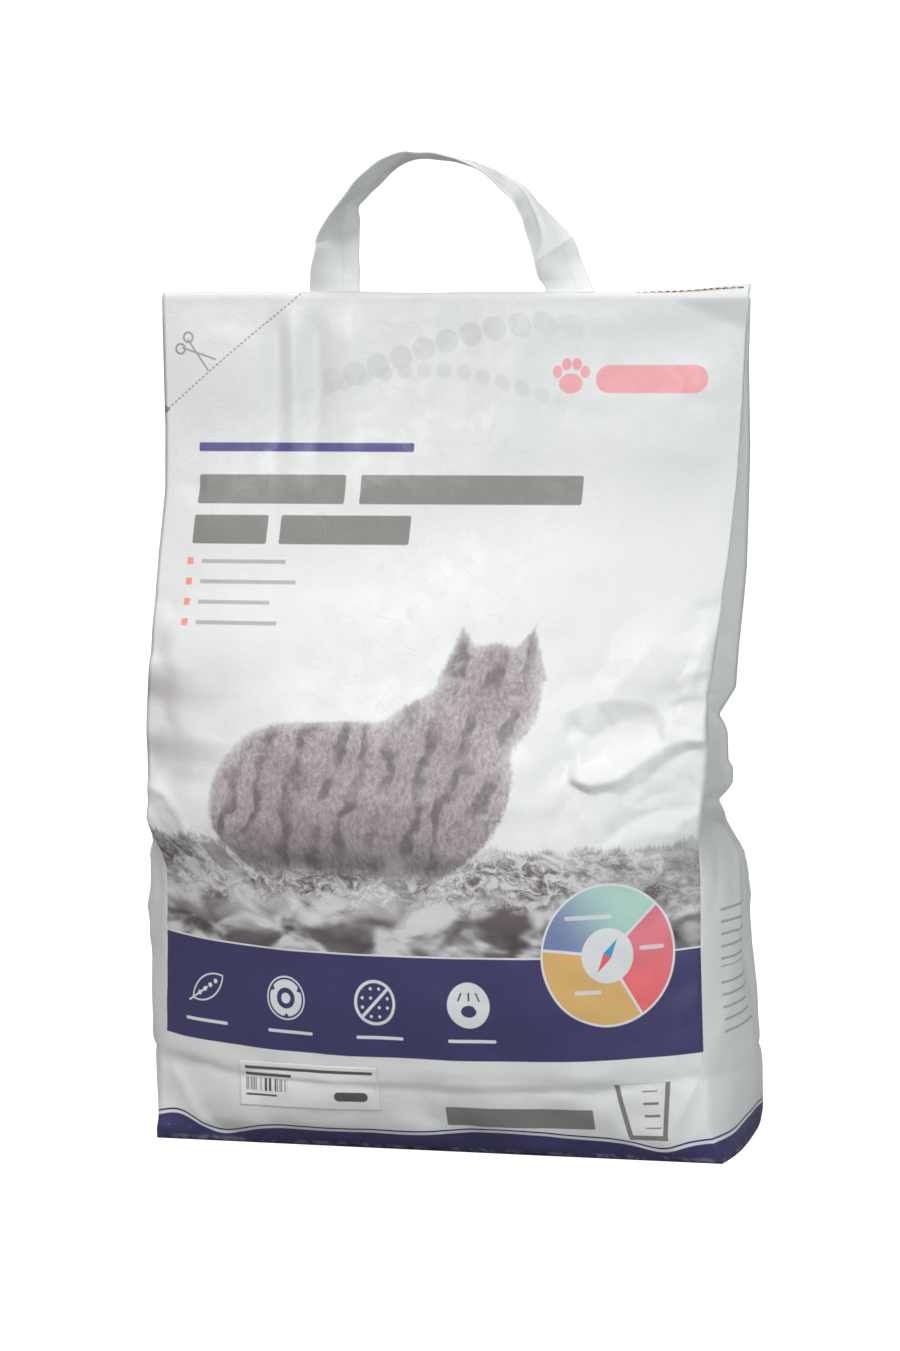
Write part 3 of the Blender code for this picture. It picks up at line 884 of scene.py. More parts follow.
def picture(p, x, y, colours):
    """The lower picture: a resting cat seen from behind on a shaggy rug, in mauve greys that fade out."""
    place = p.vector(x, y)
    dark = tuple(c * 0.40 for c in colours.mauve)
    mid = tuple(min(c * 1.9, 1) for c in colours.mauve)
    light, pale = (0.50, 0.465, 0.475), (0.76, 0.755, 0.75)
    # blurred room: two soft bands that fade to the right
    blur = p.noise(p.vector(x * 0.5, y * 1.6), 30.0, 2.0, 0.5)
    bands = p.bell(y, 0.1975, 0.0085) * 0.75 + p.bell(y, 0.172, 0.006) * 0.45
    bands = bands * p.ranged(x + blur * 0.05, -0.045, -0.115)
    room = (bands + p.ranged(blur, 0.5, 0.8) * 0.35 * p.ranged(y, 0.215, 0.165)).clip()
    shade = p.mix(room, pale, mid)
    # the rug: clumps and stray threads, sharp in the middle distance, blurred near and far, darkest in front
    near = p.ranged(y, 0.112, 0.096)
    warp = (p.noise(place, 70.0, 2.0) - 0.5) * 0.012
    tufts = p.noise(p.vector(x + warp, y * 1.5 - warp), 170.0, 7.0, 0.78, 0.9)
    blobs = p.noise(p.vector(x * 0.8, y * 1.5), 48.0, 2.5, 0.55, 0.4)
    sharp = p.ranged(abs(y - 0.127), 0.024, 0.004)
    pile = p.ranged(tufts * sharp + blobs * (1.0 - sharp), 0.40, 0.60)
    clump = p.ranged(p.noise(p.vector(x, y * 2.0), 30.0, 2.0, 0.6), 0.40, 0.62)
    fringe = p.noise(p.vector(x, 3.0), 620.0, 3.0, 0.7) * 0.010
    fringe = fringe + p.noise(p.vector(x, 0.0), 45.0, 3.0, 0.6) * 0.016
    rug = (y - fringe - 0.1235).edge(0.0030)
    rug_shade = p.mix(pile, tuple(c * 0.9 for c in colours.mauve), (0.66, 0.645, 0.645))
    rug_shade = p.mix(clump * 0.45, rug_shade, (0.74, 0.73, 0.73))
    ends = p.ranged(abs(x + 0.005), 0.080, 0.128)
    deep = (near * 0.75 + ends * sharp * 0.55) * p.ranged(blobs, 0.62, 0.42)
    rug_shade = p.mix(deep.clip(), rug_shade, dark)
    # the cat: haunch, back, shoulder and head joined softly, two ears and a tail laid round
    wisp = (p.noise(p.vector(x * 1.5, y), 380.0, 3.0, 0.75) - 0.5) * 0.0042
    parts = [
        p.disc(x, y, -0.030, 0.150, 0.060, 0.60),
        p.disc(x, y, -0.058, 0.151, 0.037, 0.90),
        p.disc(x, y, 0.012, 0.163, 0.034, 1.00),
        p.disc(x, y, 0.033, 0.196, 0.0240, 0.90),
    ]
    body = parts[0]
    for part in parts[1:]:
        body = body.math("SMOOTH_MIN", part, 0.012)
    for lean, cx in ((-1.0, 0.0205), (1.0, 0.0460)):
        ex, ey = (x - cx) - (y - 0.2085) * (0.22 * lean), y - 0.2085
        ear = (abs(ex) * 1.05 + ey * 0.62 - 0.0100).high(-ey - 0.006)
        body = body.math("SMOOTH_MIN", ear, 0.004)
    tail = (abs(p.disc(x, y, -0.052, 0.1345, 0.046, 0.42)) - 0.0062).high(y - 0.1345)
    body = body.low(tail) + wisp
    cat = body.edge(0.0030)
    coat = p.noise(p.vector(x * 1.3 + warp, y * 0.8), 420.0, 6.0, 0.78, 0.3)
    band = (x * 430.0 - y * 120.0 + p.noise(place, 38.0, 3.0, 0.6) * 13.0).math("SINE")
    band = p.ranged(band, -0.1, 0.9) * p.ranged(p.noise(place, 55.0, 2.0), 0.36, 0.58)
    fur_shade = p.mix(p.ranged(coat, 0.34, 0.66), mid, light)
    fur_shade = p.mix(p.ranged(body, -0.004, -0.022) * 0.30, fur_shade, tuple(colours.mauve))
    fur_shade = p.mix(band * 0.60, fur_shade, dark)
    fur_shade = p.mix(p.ranged(y, 0.152, 0.122) * 0.65, fur_shade, dark)
    fur_shade = p.mix(p.ranged(tail, 0.002, -0.004) * 0.35, fur_shade, light)
    shine = p.ranged(body, -0.006, 0.0) * p.ranged(y, 0.14, 0.18)
    fur_shade = p.mix(shine * 0.45, fur_shade, (0.66, 0.645, 0.65))
    shade = p.mix(cat, shade, fur_shade)
    shade = p.mix(rug * (1.0 - cat * p.ranged(y - fringe * 0.5, 0.112, 0.124)), shade, rug_shade)
    # the whole picture thins out into bare paper towards the top and the right
    edge = p.noise(place, 18.0, 2.0) * 0.03
    keep_rug = p.ranged(y - edge * 0.3, 0.152, 0.120)
    keep_left = p.ranged(x + edge, 0.05, -0.09) * p.ranged(y, 0.224, 0.186)
    return shade, cat.high(keep_rug).high(keep_left)


def dial(p, x, y, shade):
    """A colour dial: a white rim, three coloured sectors, a white hub and a red and blue needle."""
    cx, cy, radius = 0.0887, 0.0922, 0.0302
    dx, dy = x - cx, y - cy
    reach = (dx * dx + dy * dy).math("SQRT")
    angle = dy.math("ARCTAN2", dx)
    blue = p.ranged(dx + dy * 0.8, -0.020, 0.026)
    green = p.mix(blue, (0.185, 0.225, 0.42), (0.44, 0.66, 0.58))
    hue = p.ranged(angle, -0.90, 0.65)
    red = p.mix(hue, (0.83, 0.155, 0.165), (0.74, 0.20, 0.25))
    yellow = (0.70, 0.435, 0.155)
    right = (angle + 1.05).low(0.76 - angle)
    left = (angle - 0.76).low(3.03 - angle)
    face = p.mix((right * -1.0).edge(0.01), yellow, red)
    face = p.mix((left * -1.0).edge(0.01), face, green)
    spokes = []
    for turn in (0.76, 3.03, -1.05):
        across = abs(dx * math.sin(turn) - dy * math.cos(turn)) - 0.0006
        ahead = -(dx * math.cos(turn) + dy * math.sin(turn))
        spokes.append(across.high(ahead))
    lines = spokes[0].low(spokes[1]).low(spokes[2])
    hub = reach - 0.0116
    lines = lines.low(hub)
    face = p.mix(lines.edge(0.0004), face, (0.72, 0.725, 0.73))
    # needle along a slant, two slim triangles
    nx, ny = dx * 0.545 + dy * 0.838, dx * 0.838 - dy * 0.545
    needle = abs(ny) * 4.2 + abs(nx) - 0.0083
    tip = p.mix((nx * -1.0).edge(0.0002), (0.78, 0.13, 0.11), (0.045, 0.33, 0.62))
    face = p.mix(needle.edge(0.0005), face, tip)
    face = p.mix((reach - radius + 0.0010).edge(0.0004), (0.73, 0.735, 0.74), face)
    # three short plain bars stand for words on the sectors
    marks = p.box(x, y, 0.0800, 0.1085, 0.0105, 0.0009, 0.0008)
    marks = marks.low(p.box(x, y, 0.1085, 0.0945, 0.0055, 0.0009, 0.0008))
    marks = marks.low(p.box(x, y, 0.0795, 0.0770, 0.0060, 0.0009, 0.0008))
    face = p.mix(marks.edge(0.0004) * 0.75, face, (0.72, 0.73, 0.74))
    return p.mix((reach - radius).edge(0.0004), shade, face)


def icons(p, x, y):
    """White marks on the navy band: a leaf, a ring of three, a slashed dotted ring, a disc with a clump."""
    line = 0.0007  # the thickness of a mark's outline
    # leaf: the overlap of two discs, its midrib and a stalk
    lx, ly = (x + 0.1060) * 0.82 + (y - 0.0712) * 0.57, (y - 0.0712) * 0.82 - (x + 0.1060) * 0.57
    leaf = p.disc(lx, ly, 0.0, 0.0078, 0.0125).high(p.disc(lx, ly, 0.0, -0.0078, 0.0125))
    rib = (abs(ly) - 0.0004).high(abs(lx) - 0.0125)
    pods = p.disc((lx % 0.0034), ly, 0.0017, 0.0, 0.0010).high(abs(lx) - 0.0070)
    mark = (abs(leaf) - line / 2).low(rib.high(lx)).low(pods)
    # ring of three petals
    rx, ry = x + 0.0643, y - 0.0711
    petals = None
    for turn in (math.pi / 2, math.pi * 7 / 6, math.pi * 11 / 6):
        cx, cy = 0.0060 * math.cos(turn), 0.0060 * math.sin(turn)
        petal = p.disc(rx, ry, cx, cy, 0.0062)
        petals = petal if petals is None else petals.low(petal)
    ring = abs(p.disc(rx, ry, 0.0, 0.0, 0.0092)) - line / 2
    gap = abs(p.disc(rx, ry, 0.0, 0.0, 0.0034)) - 0.0011
    mark = mark.low(ring).low(petals.high(-gap).high(p.disc(rx, ry, 0.0, 0.0, 0.0080)))
    # slashed ring with dots
    sx, sy = x + 0.0203, y - 0.0717
    ring = abs(p.disc(sx, sy, 0.0, 0.0, 0.0092)) - 0.0007
    slash = (abs(sx * 0.707 - sy * 0.707) - 0.0007).high(p.disc(sx, sy, 0.0, 0.0, 0.0092))
    dots = p.disc(sx % 0.0040, sy % 0.0040, 0.0020, 0.0020, 0.0007)
    dots = dots.high(p.disc(sx, sy, 0.0, 0.0, 0.0078)).high(0.0016 - abs(sx * 0.707 - sy * 0.707))
    mark = mark.low(ring).low(slash).low(dots)
    # disc with a clump and three ticks cut out of it
    cx, cy = x - 0.0243, y - 0.0719
    clump = p.disc(cx, cy, 0.0, -0.0026, 0.0036, 0.7) + p.noise(p.vector(x, y), 900.0, 2.0) * 0.0012 - 0.0006
    ticks = None
    for lean in (-1, 0, 1):
        tx = cx - 0.0042 * lean + (cy - 0.0036) * (0.45 * lean)
        tick = (abs(tx) - 0.0004).high(abs(cy - 0.0036) - 0.0018)
        ticks = tick if ticks is None else ticks.low(tick)
    disc = p.disc(cx, cy, 0.0, 0.0, 0.0099).high(-(clump.low(ticks)))
    mark = mark.low(disc)
    # captions: one short bar under each mark
    near = p.box((x + 0.1300) % 0.0440, y, 0.0232, 0.0563, 0.0112, 0.0007, 0.0006).high(x - 0.046)
    return mark.low(near)


def upper_print(p, x, y, shade, colours):
    """Cut line, scissors, pale beans, title bars, bullets and the pink mark."""
    grey, soft = tuple(colours.grey), 0.0005
    # a pale strand of beans in two sizes
    bx = (x + y * 0.34 + 0.20) % 0.0115
    wave = ((x + 0.02) * 26.0).math("SINE") * 0.014 + 0.338
    beans = p.disc(bx, y - wave, 0.0057, 0.0, 0.0054).high(abs(x - 0.005) - 0.062)
    wave = ((x + 0.06) * 31.0).math("SINE") * 0.010 + 0.322
    small = p.disc((x + 0.2) % 0.0088, y - wave, 0.0044, 0.0, 0.0033).high(abs(x + 0.020) - 0.070)
    fade = p.ranged(abs(x + 0.005), 0.085, 0.02)
    shade = p.mix(beans.edge(0.0009) * fade * 0.62, shade, (0.49, 0.495, 0.495))
    shade = p.mix(small.edge(0.0008) * fade * 0.50, shade, (0.49, 0.495, 0.495))
    # dotted cut line with a small pointer, and scissors beside it
    along = (x + 0.1287) * 0.779 + (y - 0.3149) * 0.627
    off = abs((y - 0.3149) * 0.779 - (x + 0.1287) * 0.627)
    dots = (off - 0.00035).high(abs(along % 0.0021 - 0.00105) - 0.0006).high(-along).high(along - 0.085)
    pointer = (x + 0.1273).high(abs(y - 0.3149) - (-0.1273 - x) * 0.8)
    cx, cy = (x + 0.1145) * 0.80 - (y - 0.3392) * 0.60, (y - 0.3392) * 0.80 + (x + 0.1145) * 0.60
    loops = (abs(p.disc(cx, abs(cy), -0.0068, 0.0031, 0.0021)) - 0.00045)
    blades = (abs(abs(cy) - abs(cx - 0.0002) * 0.34) - 0.00042).high(abs(cx - 0.0012) - 0.0078)
    cut = dots.low(pointer).low(loops).low(blades)
    shade = p.mix(cut.edge(soft) * 0.85, shade, (0.20, 0.20, 0.20))
    # title bars
    purple = p.box(x, y, -0.0640, 0.2990, 0.0500, 0.0019, 0.0008)
    shade = p.mix(purple.edge(soft), shade, tuple(colours.purple))
    # two rows of thick bars, broken like words
    bars = p.box(x, y, -0.0790, 0.2812, 0.0345, 0.0062, 0.0010)
    for cx, cy, half in ((0.0125, 0.2812, 0.0500), (-0.0965, 0.2640, 0.0175), (-0.0430, 0.2640, 0.0300)):
        bars = bars.low(p.box(x, y, cx, cy, half, 0.0062, 0.0010))
    shade = p.mix(bars.edge(soft), shade, grey)
    # bullets and their thin bars
    square = p.box(x, (y - 0.2198) % 0.0087, -0.1141, 0.00435, 0.0015, 0.0015).high(abs(y - 0.2372) - 0.0174)
    shade = p.mix(square.edge(0.0004), shade, tuple(colours.salmon))
    lines = p.bars(x, y, -0.1085, -0.0590, 0.2546, 0.0087, 4, 0.0017, 0.016)
    shade = p.mix(lines.edge(soft) * 0.75, shade, (0.33, 0.33, 0.33))
    # pink mark: a paw beside a plain bar
    pad = p.disc(x, y, 0.0545, 0.3265, 0.0052, 0.82)
    for tx, ty in ((-0.0060, 0.0050), (-0.0021, 0.0083), (0.0024, 0.0083), (0.0062, 0.0050)):
        pad = pad.low(p.disc(x, y, 0.0545 + tx, 0.3265 + ty, 0.0021, 1.25))
    pad = pad.low(p.box(x, y, 0.0900, 0.3285, 0.0245, 0.0060, 0.0058))
    return p.mix(pad.edge(soft) * 0.92, shade, tuple(colours.pink))


def lower_print(p, x, y, shade, colours):
    """The navy bands with their white lines, the icons, the dial and the measure at the bottom."""
    navy = tuple(colours.navy)
    white = (0.74, 0.745, 0.75)
    front = p.ranged(abs(x), 0.1302, 0.1298)
    band = (abs(y - 0.0697) - 0.0220)
    shade = p.mix(((y - 0.0924).high(0.0474 - y)).edge(0.0004) * front, shade, white)
    shade = p.mix(band.edge(0.0004) * front, shade, navy)
    shade = p.mix(icons(p, x, y).edge(0.0004) * front, shade, white)
    shade = p.mix(front, shade, dial(p, x, y, shade))
    # the measure: a long bar and a little jug with level marks, in grey
    bar = p.box(x, y, 0.0445, 0.0200, 0.0340, 0.0050, 0.0008)
    gx, gy = x - 0.1020, y - 0.0245
    wall = abs((abs(gx) - (gy + 0.0140) * 0.16 - 0.0075).high(abs(gy) - 0.0130)) - 0.0011
    jug = wall.high(gy - 0.0120)
    marks = p.box(gx, (gy % 0.0058), 0.0030, 0.0029, 0.0035, 0.0006).high(abs(gy) - 0.0087)
    measure = bar.low(jug).low(marks)
    shade = p.mix(measure.edge(0.0004) * front, shade, tuple(c * 0.95 for c in colours.grey))
    # bottom band with the pair of thin lines over it, all round
    top = p.bell(x, -0.120, 0.012) * 0.0036 - p.bell(x, -0.098, 0.014) * 0.0052
    top = top + p.bell(x, 0.035, 0.030) * 0.0030 - p.bell(x, 0.106, 0.012) * 0.0040
    top = top + p.bell(x, 0.180, 0.030) * 0.0030 + 0.0088
    shade = p.mix((abs(y - top - 0.0018) - 0.0004).edge(0.0003), shade, navy)
    shade = p.mix((y - top).edge(0.0004), shade, navy)
    # wear along the lowest folds
    worn = p.ranged(p.noise(p.vector(x, y * 2.0), 260.0, 5.0, 0.7), 0.62, 0.74)
    low = (y - top).edge(0.004) * p.ranged(abs(abs(x) - 0.119), 0.028, 0.004)
    rim = p.ranged(abs(y - 0.0012), 0.0020, 0.0003)
    rim = rim * p.ranged(p.noise(p.vector(x, y), 150.0, 4.0, 0.7), 0.45, 0.6)
    return p.mix((worn * low * 0.5 + rim * 0.25).clip(), shade, (0.62, 0.61, 0.63))


def printed_paper(colours):
    """Coated white paper with all of its print and a painted shade over the upper front, in paper
    coordinates: x round the bag and y up it.
    """
    p = Paint("printed_paper")
    uv = p.node("ShaderNodeUVMap", {"uv_map": "paper"})
    x, y, _ = p.parts(uv)
    place = p.node("ShaderNodeTexCoord", {}, out=3)
    cloud = p.noise(place, 14.0, 3.0, 0.5)
    lighter = tuple(min(c * 1.02, 1) for c in colours.paper)
    bare = p.mix(cloud, tuple(c * 0.97 for c in colours.paper), lighter)
    front = p.ranged(abs(x), 0.1302, 0.1298)
    # painted shade: the upper part of the front is darkened towards the top, standing in for the light
    # falling off there
    painted_top_shade = p.ranged(y, 0.235, 0.325) * front
    top_shaded_paper = p.mix(painted_top_shade, bare, (0.625, 0.632, 0.625))
    shade = upper_print(p, x, y, top_shaded_paper, colours)
    image, keep = picture(p, x, y, colours)
    shade = p.mix(keep * front * (y - 0.0924).math("GREATER_THAN", 0.0), p.mix(front, bare, shade), image)
    shade = lower_print(p, x, y, shade, colours)
    # plain rules on the right side, and a generic block of them on the back
    lines = p.bars(x, y, 0.1420, 0.1800, 0.1085, 0.0052, 5, 0.0011, 0.012)
    lines = lines.low(p.bars(x, y, 0.1420, 0.1810, 0.0775, 0.0052, 5, 0.0011, 0.010))
    rule = p.box(x, y, 0.1610, 0.0818, 0.0190, 0.0003)
    shade = p.mix(lines.low(rule).edge(0.0004) * 0.72, shade, (0.30, 0.30, 0.31))
    back = x - BACK_MIDDLE
    behind = p.bars(back, y, -0.0950, 0.0950, 0.2700, 0.0072, 14, 0.0016, 0.050)
    behind = behind.low(p.box(back, y, -0.0450, 0.2860, 0.0500, 0.0042, 0.0008))
    band = (abs(back) - 0.1300).high(abs(y - 0.0697) - 0.0220)
    shade = p.mix(behind.edge(0.0005) * 0.8, shade, tuple(colours.grey))
    shade = p.mix(band.edge(0.0005), shade, tuple(colours.navy))
    # soiling and rubbed highlights
    dirt = p.ranged(p.noise(place, 210.0, 4.0, 0.7), 0.66, 0.80)
    shade = p.mix(dirt * 0.10, shade, (0.42, 0.40, 0.37))
    p.set("Base Color", shade)
    p.set("Roughness", p.ranged(p.noise(place, 120.0, 3.0), 0.3, 0.7, 0.40, 0.54))
    p.set("Specular IOR Level", 0.42)
    p.set("Normal", paper_grain(p, place, 1.0))
    return p.material


# ---------------------------------------------------------------- the other materials


def strap_paper():
    """Uncoated white kraft of the strap, a little warmer and greyer, with fibres along it."""
    p = Paint("strap_paper")
    place = p.node("ShaderNodeTexCoord", {}, out=3)
    uv = p.node("ShaderNodeUVMap", {"uv_map": "paper"})
    u, v, _ = p.parts(uv)
    cloud = p.noise(place, 60.0, 3.0)
    shade = p.mix(cloud, (0.64, 0.645, 0.64), (0.74, 0.745, 0.74))
    # lighter along the strap's two folded edges
    edge_lightening = p.ranged(abs(abs(v) - 0.5), 0.03, 0.0) * 0.25
    shade = p.mix(edge_lightening, shade, (0.80, 0.80, 0.79))
    ply = p.ranged(abs(v - 0.17), 0.010, 0.002)
    shade = p.mix(ply * 0.10, shade, (0.45, 0.45, 0.44))
    p.set("Base Color", shade)
    p.set("Roughness", 0.52)
    fibre = p.noise(p.vector(u * 60.0, v * 25.0), 9.0, 4.0, 0.6)
    height = p.noise(place, 1900.0, 2.0) * 0.1 + p.noise(place, 330.0, 3.0) * 0.5 + fibre * 0.3 - ply * 0.5
    p.set("Normal", p.bump(height, 0.0004, 0.6))
    return p.material


def thread_cotton():
    """Tan twisted thread, with painted shade in the grooves of its twist and where it goes down a needle
    hole.
    """
    p = Paint("thread_cotton")
    uv = p.node("ShaderNodeUVMap", {"uv_map": "paper"})
    u, v, _ = p.parts(uv)
    twist = ((u * 9.0 + v * 2.0) * (2 * math.pi)).math("SINE")
    # painted shade: the twist's grooves, where its bump is lowest, are painted darker
    shade = p.mix(p.ranged(twist, -0.6, 0.9), (0.40, 0.24, 0.11), (0.70, 0.49, 0.27))
    # painted shade: the thread turns near black where it goes down a needle hole
    painted_hole_shade = p.ranged(abs(u % 1.0 - 0.5), 0.30, 0.44)
    shade = p.mix(painted_hole_shade, shade, (0.085, 0.042, 0.022))
    p.set("Base Color", shade)
    p.set("Roughness", 0.85)
    p.set("Normal", p.bump(twist, 0.0001, 0.8))
    return p.material


def label_paper():
    """Semi-gloss label stock with generic black rows and a short run of stripes."""
    p = Paint("label_paper")
    uv = p.node("ShaderNodeUVMap", {"uv_map": "paper"})
    x, y, _ = p.parts(uv)
    place = p.node("ShaderNodeTexCoord", {}, out=3)
    shade = p.mix(p.noise(place, 50.0, 2.0), (0.80, 0.80, 0.79), (0.85, 0.85, 0.84))
    rows = p.bars(x, y, 0.0030, 0.0600, 0.0188, 0.0030, 1, 0.0014)
    rows = rows.low(p.bars(x, y, 0.0030, 0.0240, 0.0158, 0.0030, 1, 0.0014))
    rows = rows.low(p.bars(x, y, 0.0030, 0.0170, 0.0062, 0.0022, 1, 0.0009))
    block = p.node("ShaderNodeTexWhiteNoise", {"noise_dimensions": "1D"}, W=(x * 2600.0).math("FLOOR"))
    stripes = (0.52 - block).high(abs(x - 0.0125) - 0.0095).high(abs(y - 0.0098) - 0.0028)
    shape = p.box(x, y, 0.0500, 0.0062, 0.0072, 0.0021, 0.0020)
    inked = rows.low(shape).edge(0.0003).high(stripes.math("LESS_THAN", 0.0))
    shade = p.mix(inked * 0.92, shade, (0.03, 0.03, 0.032))
    p.set("Base Color", shade)
    p.set("Roughness", 0.38)
    p.set("Normal", p.bump(p.noise(place, 500.0, 3.0), 0.0002, 0.3))
    return p.material


def finish_piece(piece, material, node):
    """Gives a piece its material, sets it riding on the model's body, and hides the model's part that it
    stands for.
    """
    piece.data.materials.clear()
    piece.data.materials.append(material)
    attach(piece, "root")
    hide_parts(node)


# ---------------------------------------------------------------- the handle, the seam and the label

# In mm: x and z of one long edge, which is in front over the arch, x and z of the other edge, the depth y of
# the strap's middle, and how far the edges are drawn apart in depth (1 is all that its width allows).
STRAP_EDGES = (
    (-67.0, 366.4, -44.0, 366.4, 2.2, 0.0),
    (-67.0, 365.6, -44.0, 365.6, 5.4, 0.0),
    (-67.0, 368.2, -44.4, 368.2, 8.2, 0.1),
    (-65.6, 377.0, -45.8, 377.0, 9.5, 0.9),
    (-63.0, 386.0, -46.6, 386.5, 9.5, 1.0),
    (-62.0, 391.6, -46.6, 393.0, 9.5, 1.0),
    (-57.6, 398.6, -47.0, 399.6, 9.5, 1.0),
    (-51.0, 406.7, -47.2, 406.0, 9.5, 1.0),
    (-43.8, 415.6, -42.5, 411.2, 9.5, 1.0),
    (-36.2, 422.1, -36.6, 416.8, 9.5, 1.0),
    (-26.0, 426.7, -28.7, 424.0, 9.5, 1.0),
    (-16.0, 427.2, -20.6, 426.8, 9.5, 1.0),
    (-6.2, 426.1, -12.0, 426.7, 9.5, 1.0),
    (3.8, 422.6, -1.4, 425.8, 9.5, 1.0),
    (13.4, 417.8, 10.2, 422.7, 9.5, 1.0),
    (19.2, 411.9, 19.4, 418.2, 9.5, 1.0),
    (25.4, 406.0, 27.4, 413.1, 9.5, 1.0),
    (28.7, 400.1, 33.0, 407.0, 9.5, 1.0),
    (30.8, 393.9, 41.1, 398.8, 9.5, 1.0),
    (32.8, 386.5, 48.8, 390.9, 9.5, 1.0),
    (36.2, 375.0, 53.8, 379.0, 9.4, 0.8),
    (38.6, 368.4, 59.4, 368.4, 8.2, 0.1),
    (38.5, 365.6, 60.0, 365.6, 5.4, 0.0),
    (38.5, 366.4, 60.0, 366.4, 2.2, 0.0),
)


def smooth_route(points, count):
    """A Catmull-Rom curve through the points, evenly spaced by the length of its first two columns."""
    p = np.array(points, float)
    p = np.concatenate([2 * p[:1] - p[1:2], p, 2 * p[-1:] - p[-2:-1]])
    t = np.linspace(0, 1, 40, endpoint=False)[:, None]
    spans = []
    for a, b, c, d in zip(p, p[1:], p[2:], p[3:]):
        square, cube = 2 * a - 5 * b + 4 * c - d, 3 * b - 3 * c + d - a
        spans.append(0.5 * (2 * b + (c - a) * t + square * t**2 + cube * t**3))
    line = np.concatenate([*spans, p[-2:-1]])
    middle = np.stack([line[:, 0] + line[:, 2], line[:, 1] + line[:, 3], 2 * line[:, 4]], -1) / 2
    walked = np.concatenate([[0], np.cumsum(np.linalg.norm(np.diff(middle, axis=0), axis=1))])
    even = np.linspace(0, walked[-1], count)
    return np.stack([np.interp(even, walked, line[:, i]) for i in range(line.shape[1])], -1), even * MM


def folded_strap(shape):
    """The strap as a closed band between its two long edges, which keep its width apart.

    In depth the edges stand sqrt(width^2 - d^2) apart, where d is their distance in the arch's plane, so the
    strap turns edge-on over the arch and face-on at its ends. Across it runs a flat oval section.
    """
    route, walked = smooth_route(STRAP_EDGES, 260)
    first, second = route[:, :2] * MM, route[:, 2:4] * MM
    apart = np.linalg.norm(second - first, axis=1)
    reach = np.sqrt(np.maximum(shape.width**2 - apart**2, 0)) / 2 * np.clip(route[:, 5], 0, 1)
    edge_a = np.stack([first[:, 0], route[:, 4] * MM - reach, first[:, 1]], -1)
    edge_b = np.stack([second[:, 0], route[:, 4] * MM + reach, second[:, 1]], -1)
    path, wide = (edge_a + edge_b) / 2, edge_b - edge_a
    span = np.linalg.norm(wide, axis=1, keepdims=True)
    wide /= span
    along = np.gradient(path, axis=0)
    face = np.cross(along, wide)
    face /= np.linalg.norm(face, axis=1, keepdims=True)
    # section: a flat oval, w from -1 to 1 across each face
    steps = 28
    w = np.cos(np.linspace(0, math.pi, steps + 1))
    section_w = np.concatenate([w, w[-2:0:-1]])
    section_h = np.concatenate([np.ones(steps + 1), -np.ones(steps - 1)])
    section_h *= np.sqrt(np.clip((1 - np.abs(section_w)) / 0.06, 0, 1))
    sw, sh = section_w[None, :], section_h[None, :]
    half, thick = span / 2, shape.thickness / 2
    share = (walked / walked[-1])[:, None]
    x, z = path[:, :1], path[:, 2:3]
    left, right = x < -0.020, x > 0.015
    # the pressed lengthwise fold over the left end, where the strap doubles back on itself
    valley = np.minimum((sw + 1) / 1.34, (1 - sw) / 0.66)
    fold_in = 3.4 * MM * valley * bump_at(z, 0.3985, 0.0125) * left
    nick = 1.0 * MM * np.exp(-np.abs(z - 0.3915 - 0.0022 * sw) / 0.0011) * bump_at(sw, -0.80, 0.30) * left
    foot = 1.2 * MM * bump_at(z, 0.3745, 0.0035) * bump_at(sw, 0.8, 0.35) * left
    cup = -1.0 * MM * (1 - sw**2) * bump_at(share, 0.46, 0.16)
    curl = 2.2 * MM * smooth(-sw, 0.35, 1.0) * bump_at(z, 0.3740, 0.0075) * right
    ridge = 0.9 * MM * np.exp(-np.abs(sw - 0.25 - (z - 0.402) * 45) / 0.10) * bump_at(z, 0.402, 0.016)
    ridge += 0.6 * MM * np.exp(-np.abs(sw + 0.15 - (z - 0.395) * 60) / 0.08) * bump_at(z, 0.396, 0.014)
    line = 0.5 * MM * np.exp(-np.abs(z - 0.3855 - 0.0035 * sw) / 0.0012) * right
    uneven = 0.25 * MM * noise(share * 0.22 + 0 * sw, sw * 0.0115, 0.018, 61)
    free = smooth(z, 0.3680, 0.3740)
    stands = (fold_in + nick - foot + cup - curl - ridge * right + line + uneven) * free
    offset = stands + sh * thick
    points = path[:, None] + wide[:, None] * (sw * half)[..., None] + face[:, None] * offset[..., None]
    return closed_rings("folded_strap", points, points[[0, -1]].mean(1), walked, section_w / 2)


def over_straps(x, width):
    """How much further off the hem the needle thread runs where it crosses a strap's end."""
    nearest = np.minimum(*(np.abs(x - middle) for middle in STRAP_ENDS))
    return 1.0 * MM * (1 - smooth(nearest, width / 2 + 0.0005, width / 2 + 0.0035))


class LITTERBAG_OT_bag(Operator):
    """Builds the printed paper bag"""

    bl_idname = "litterbag.bag"
    bl_label = "Build the bag"

    def execute(self, context):
        shape, colours = context.scene.bag_shape, context.scene.bag_colours
        points, quads, uv = make_bag_mesh(shape)
        piece = put_mesh("printed_bag", points, quads, uv)
        face_out(piece.data)
        finish_piece(piece, printed_paper(colours), "filled_bag")
        return {"FINISHED"}


class LITTERBAG_OT_handle(Operator):
    """Builds the folded paper carry handle"""

    bl_idname = "litterbag.handle"
    bl_label = "Build the handle"

    def execute(self, context):
        piece = folded_strap(context.scene.strap_shape)
        finish_piece(piece, strap_paper(), "carry_handle")
        return {"FINISHED"}


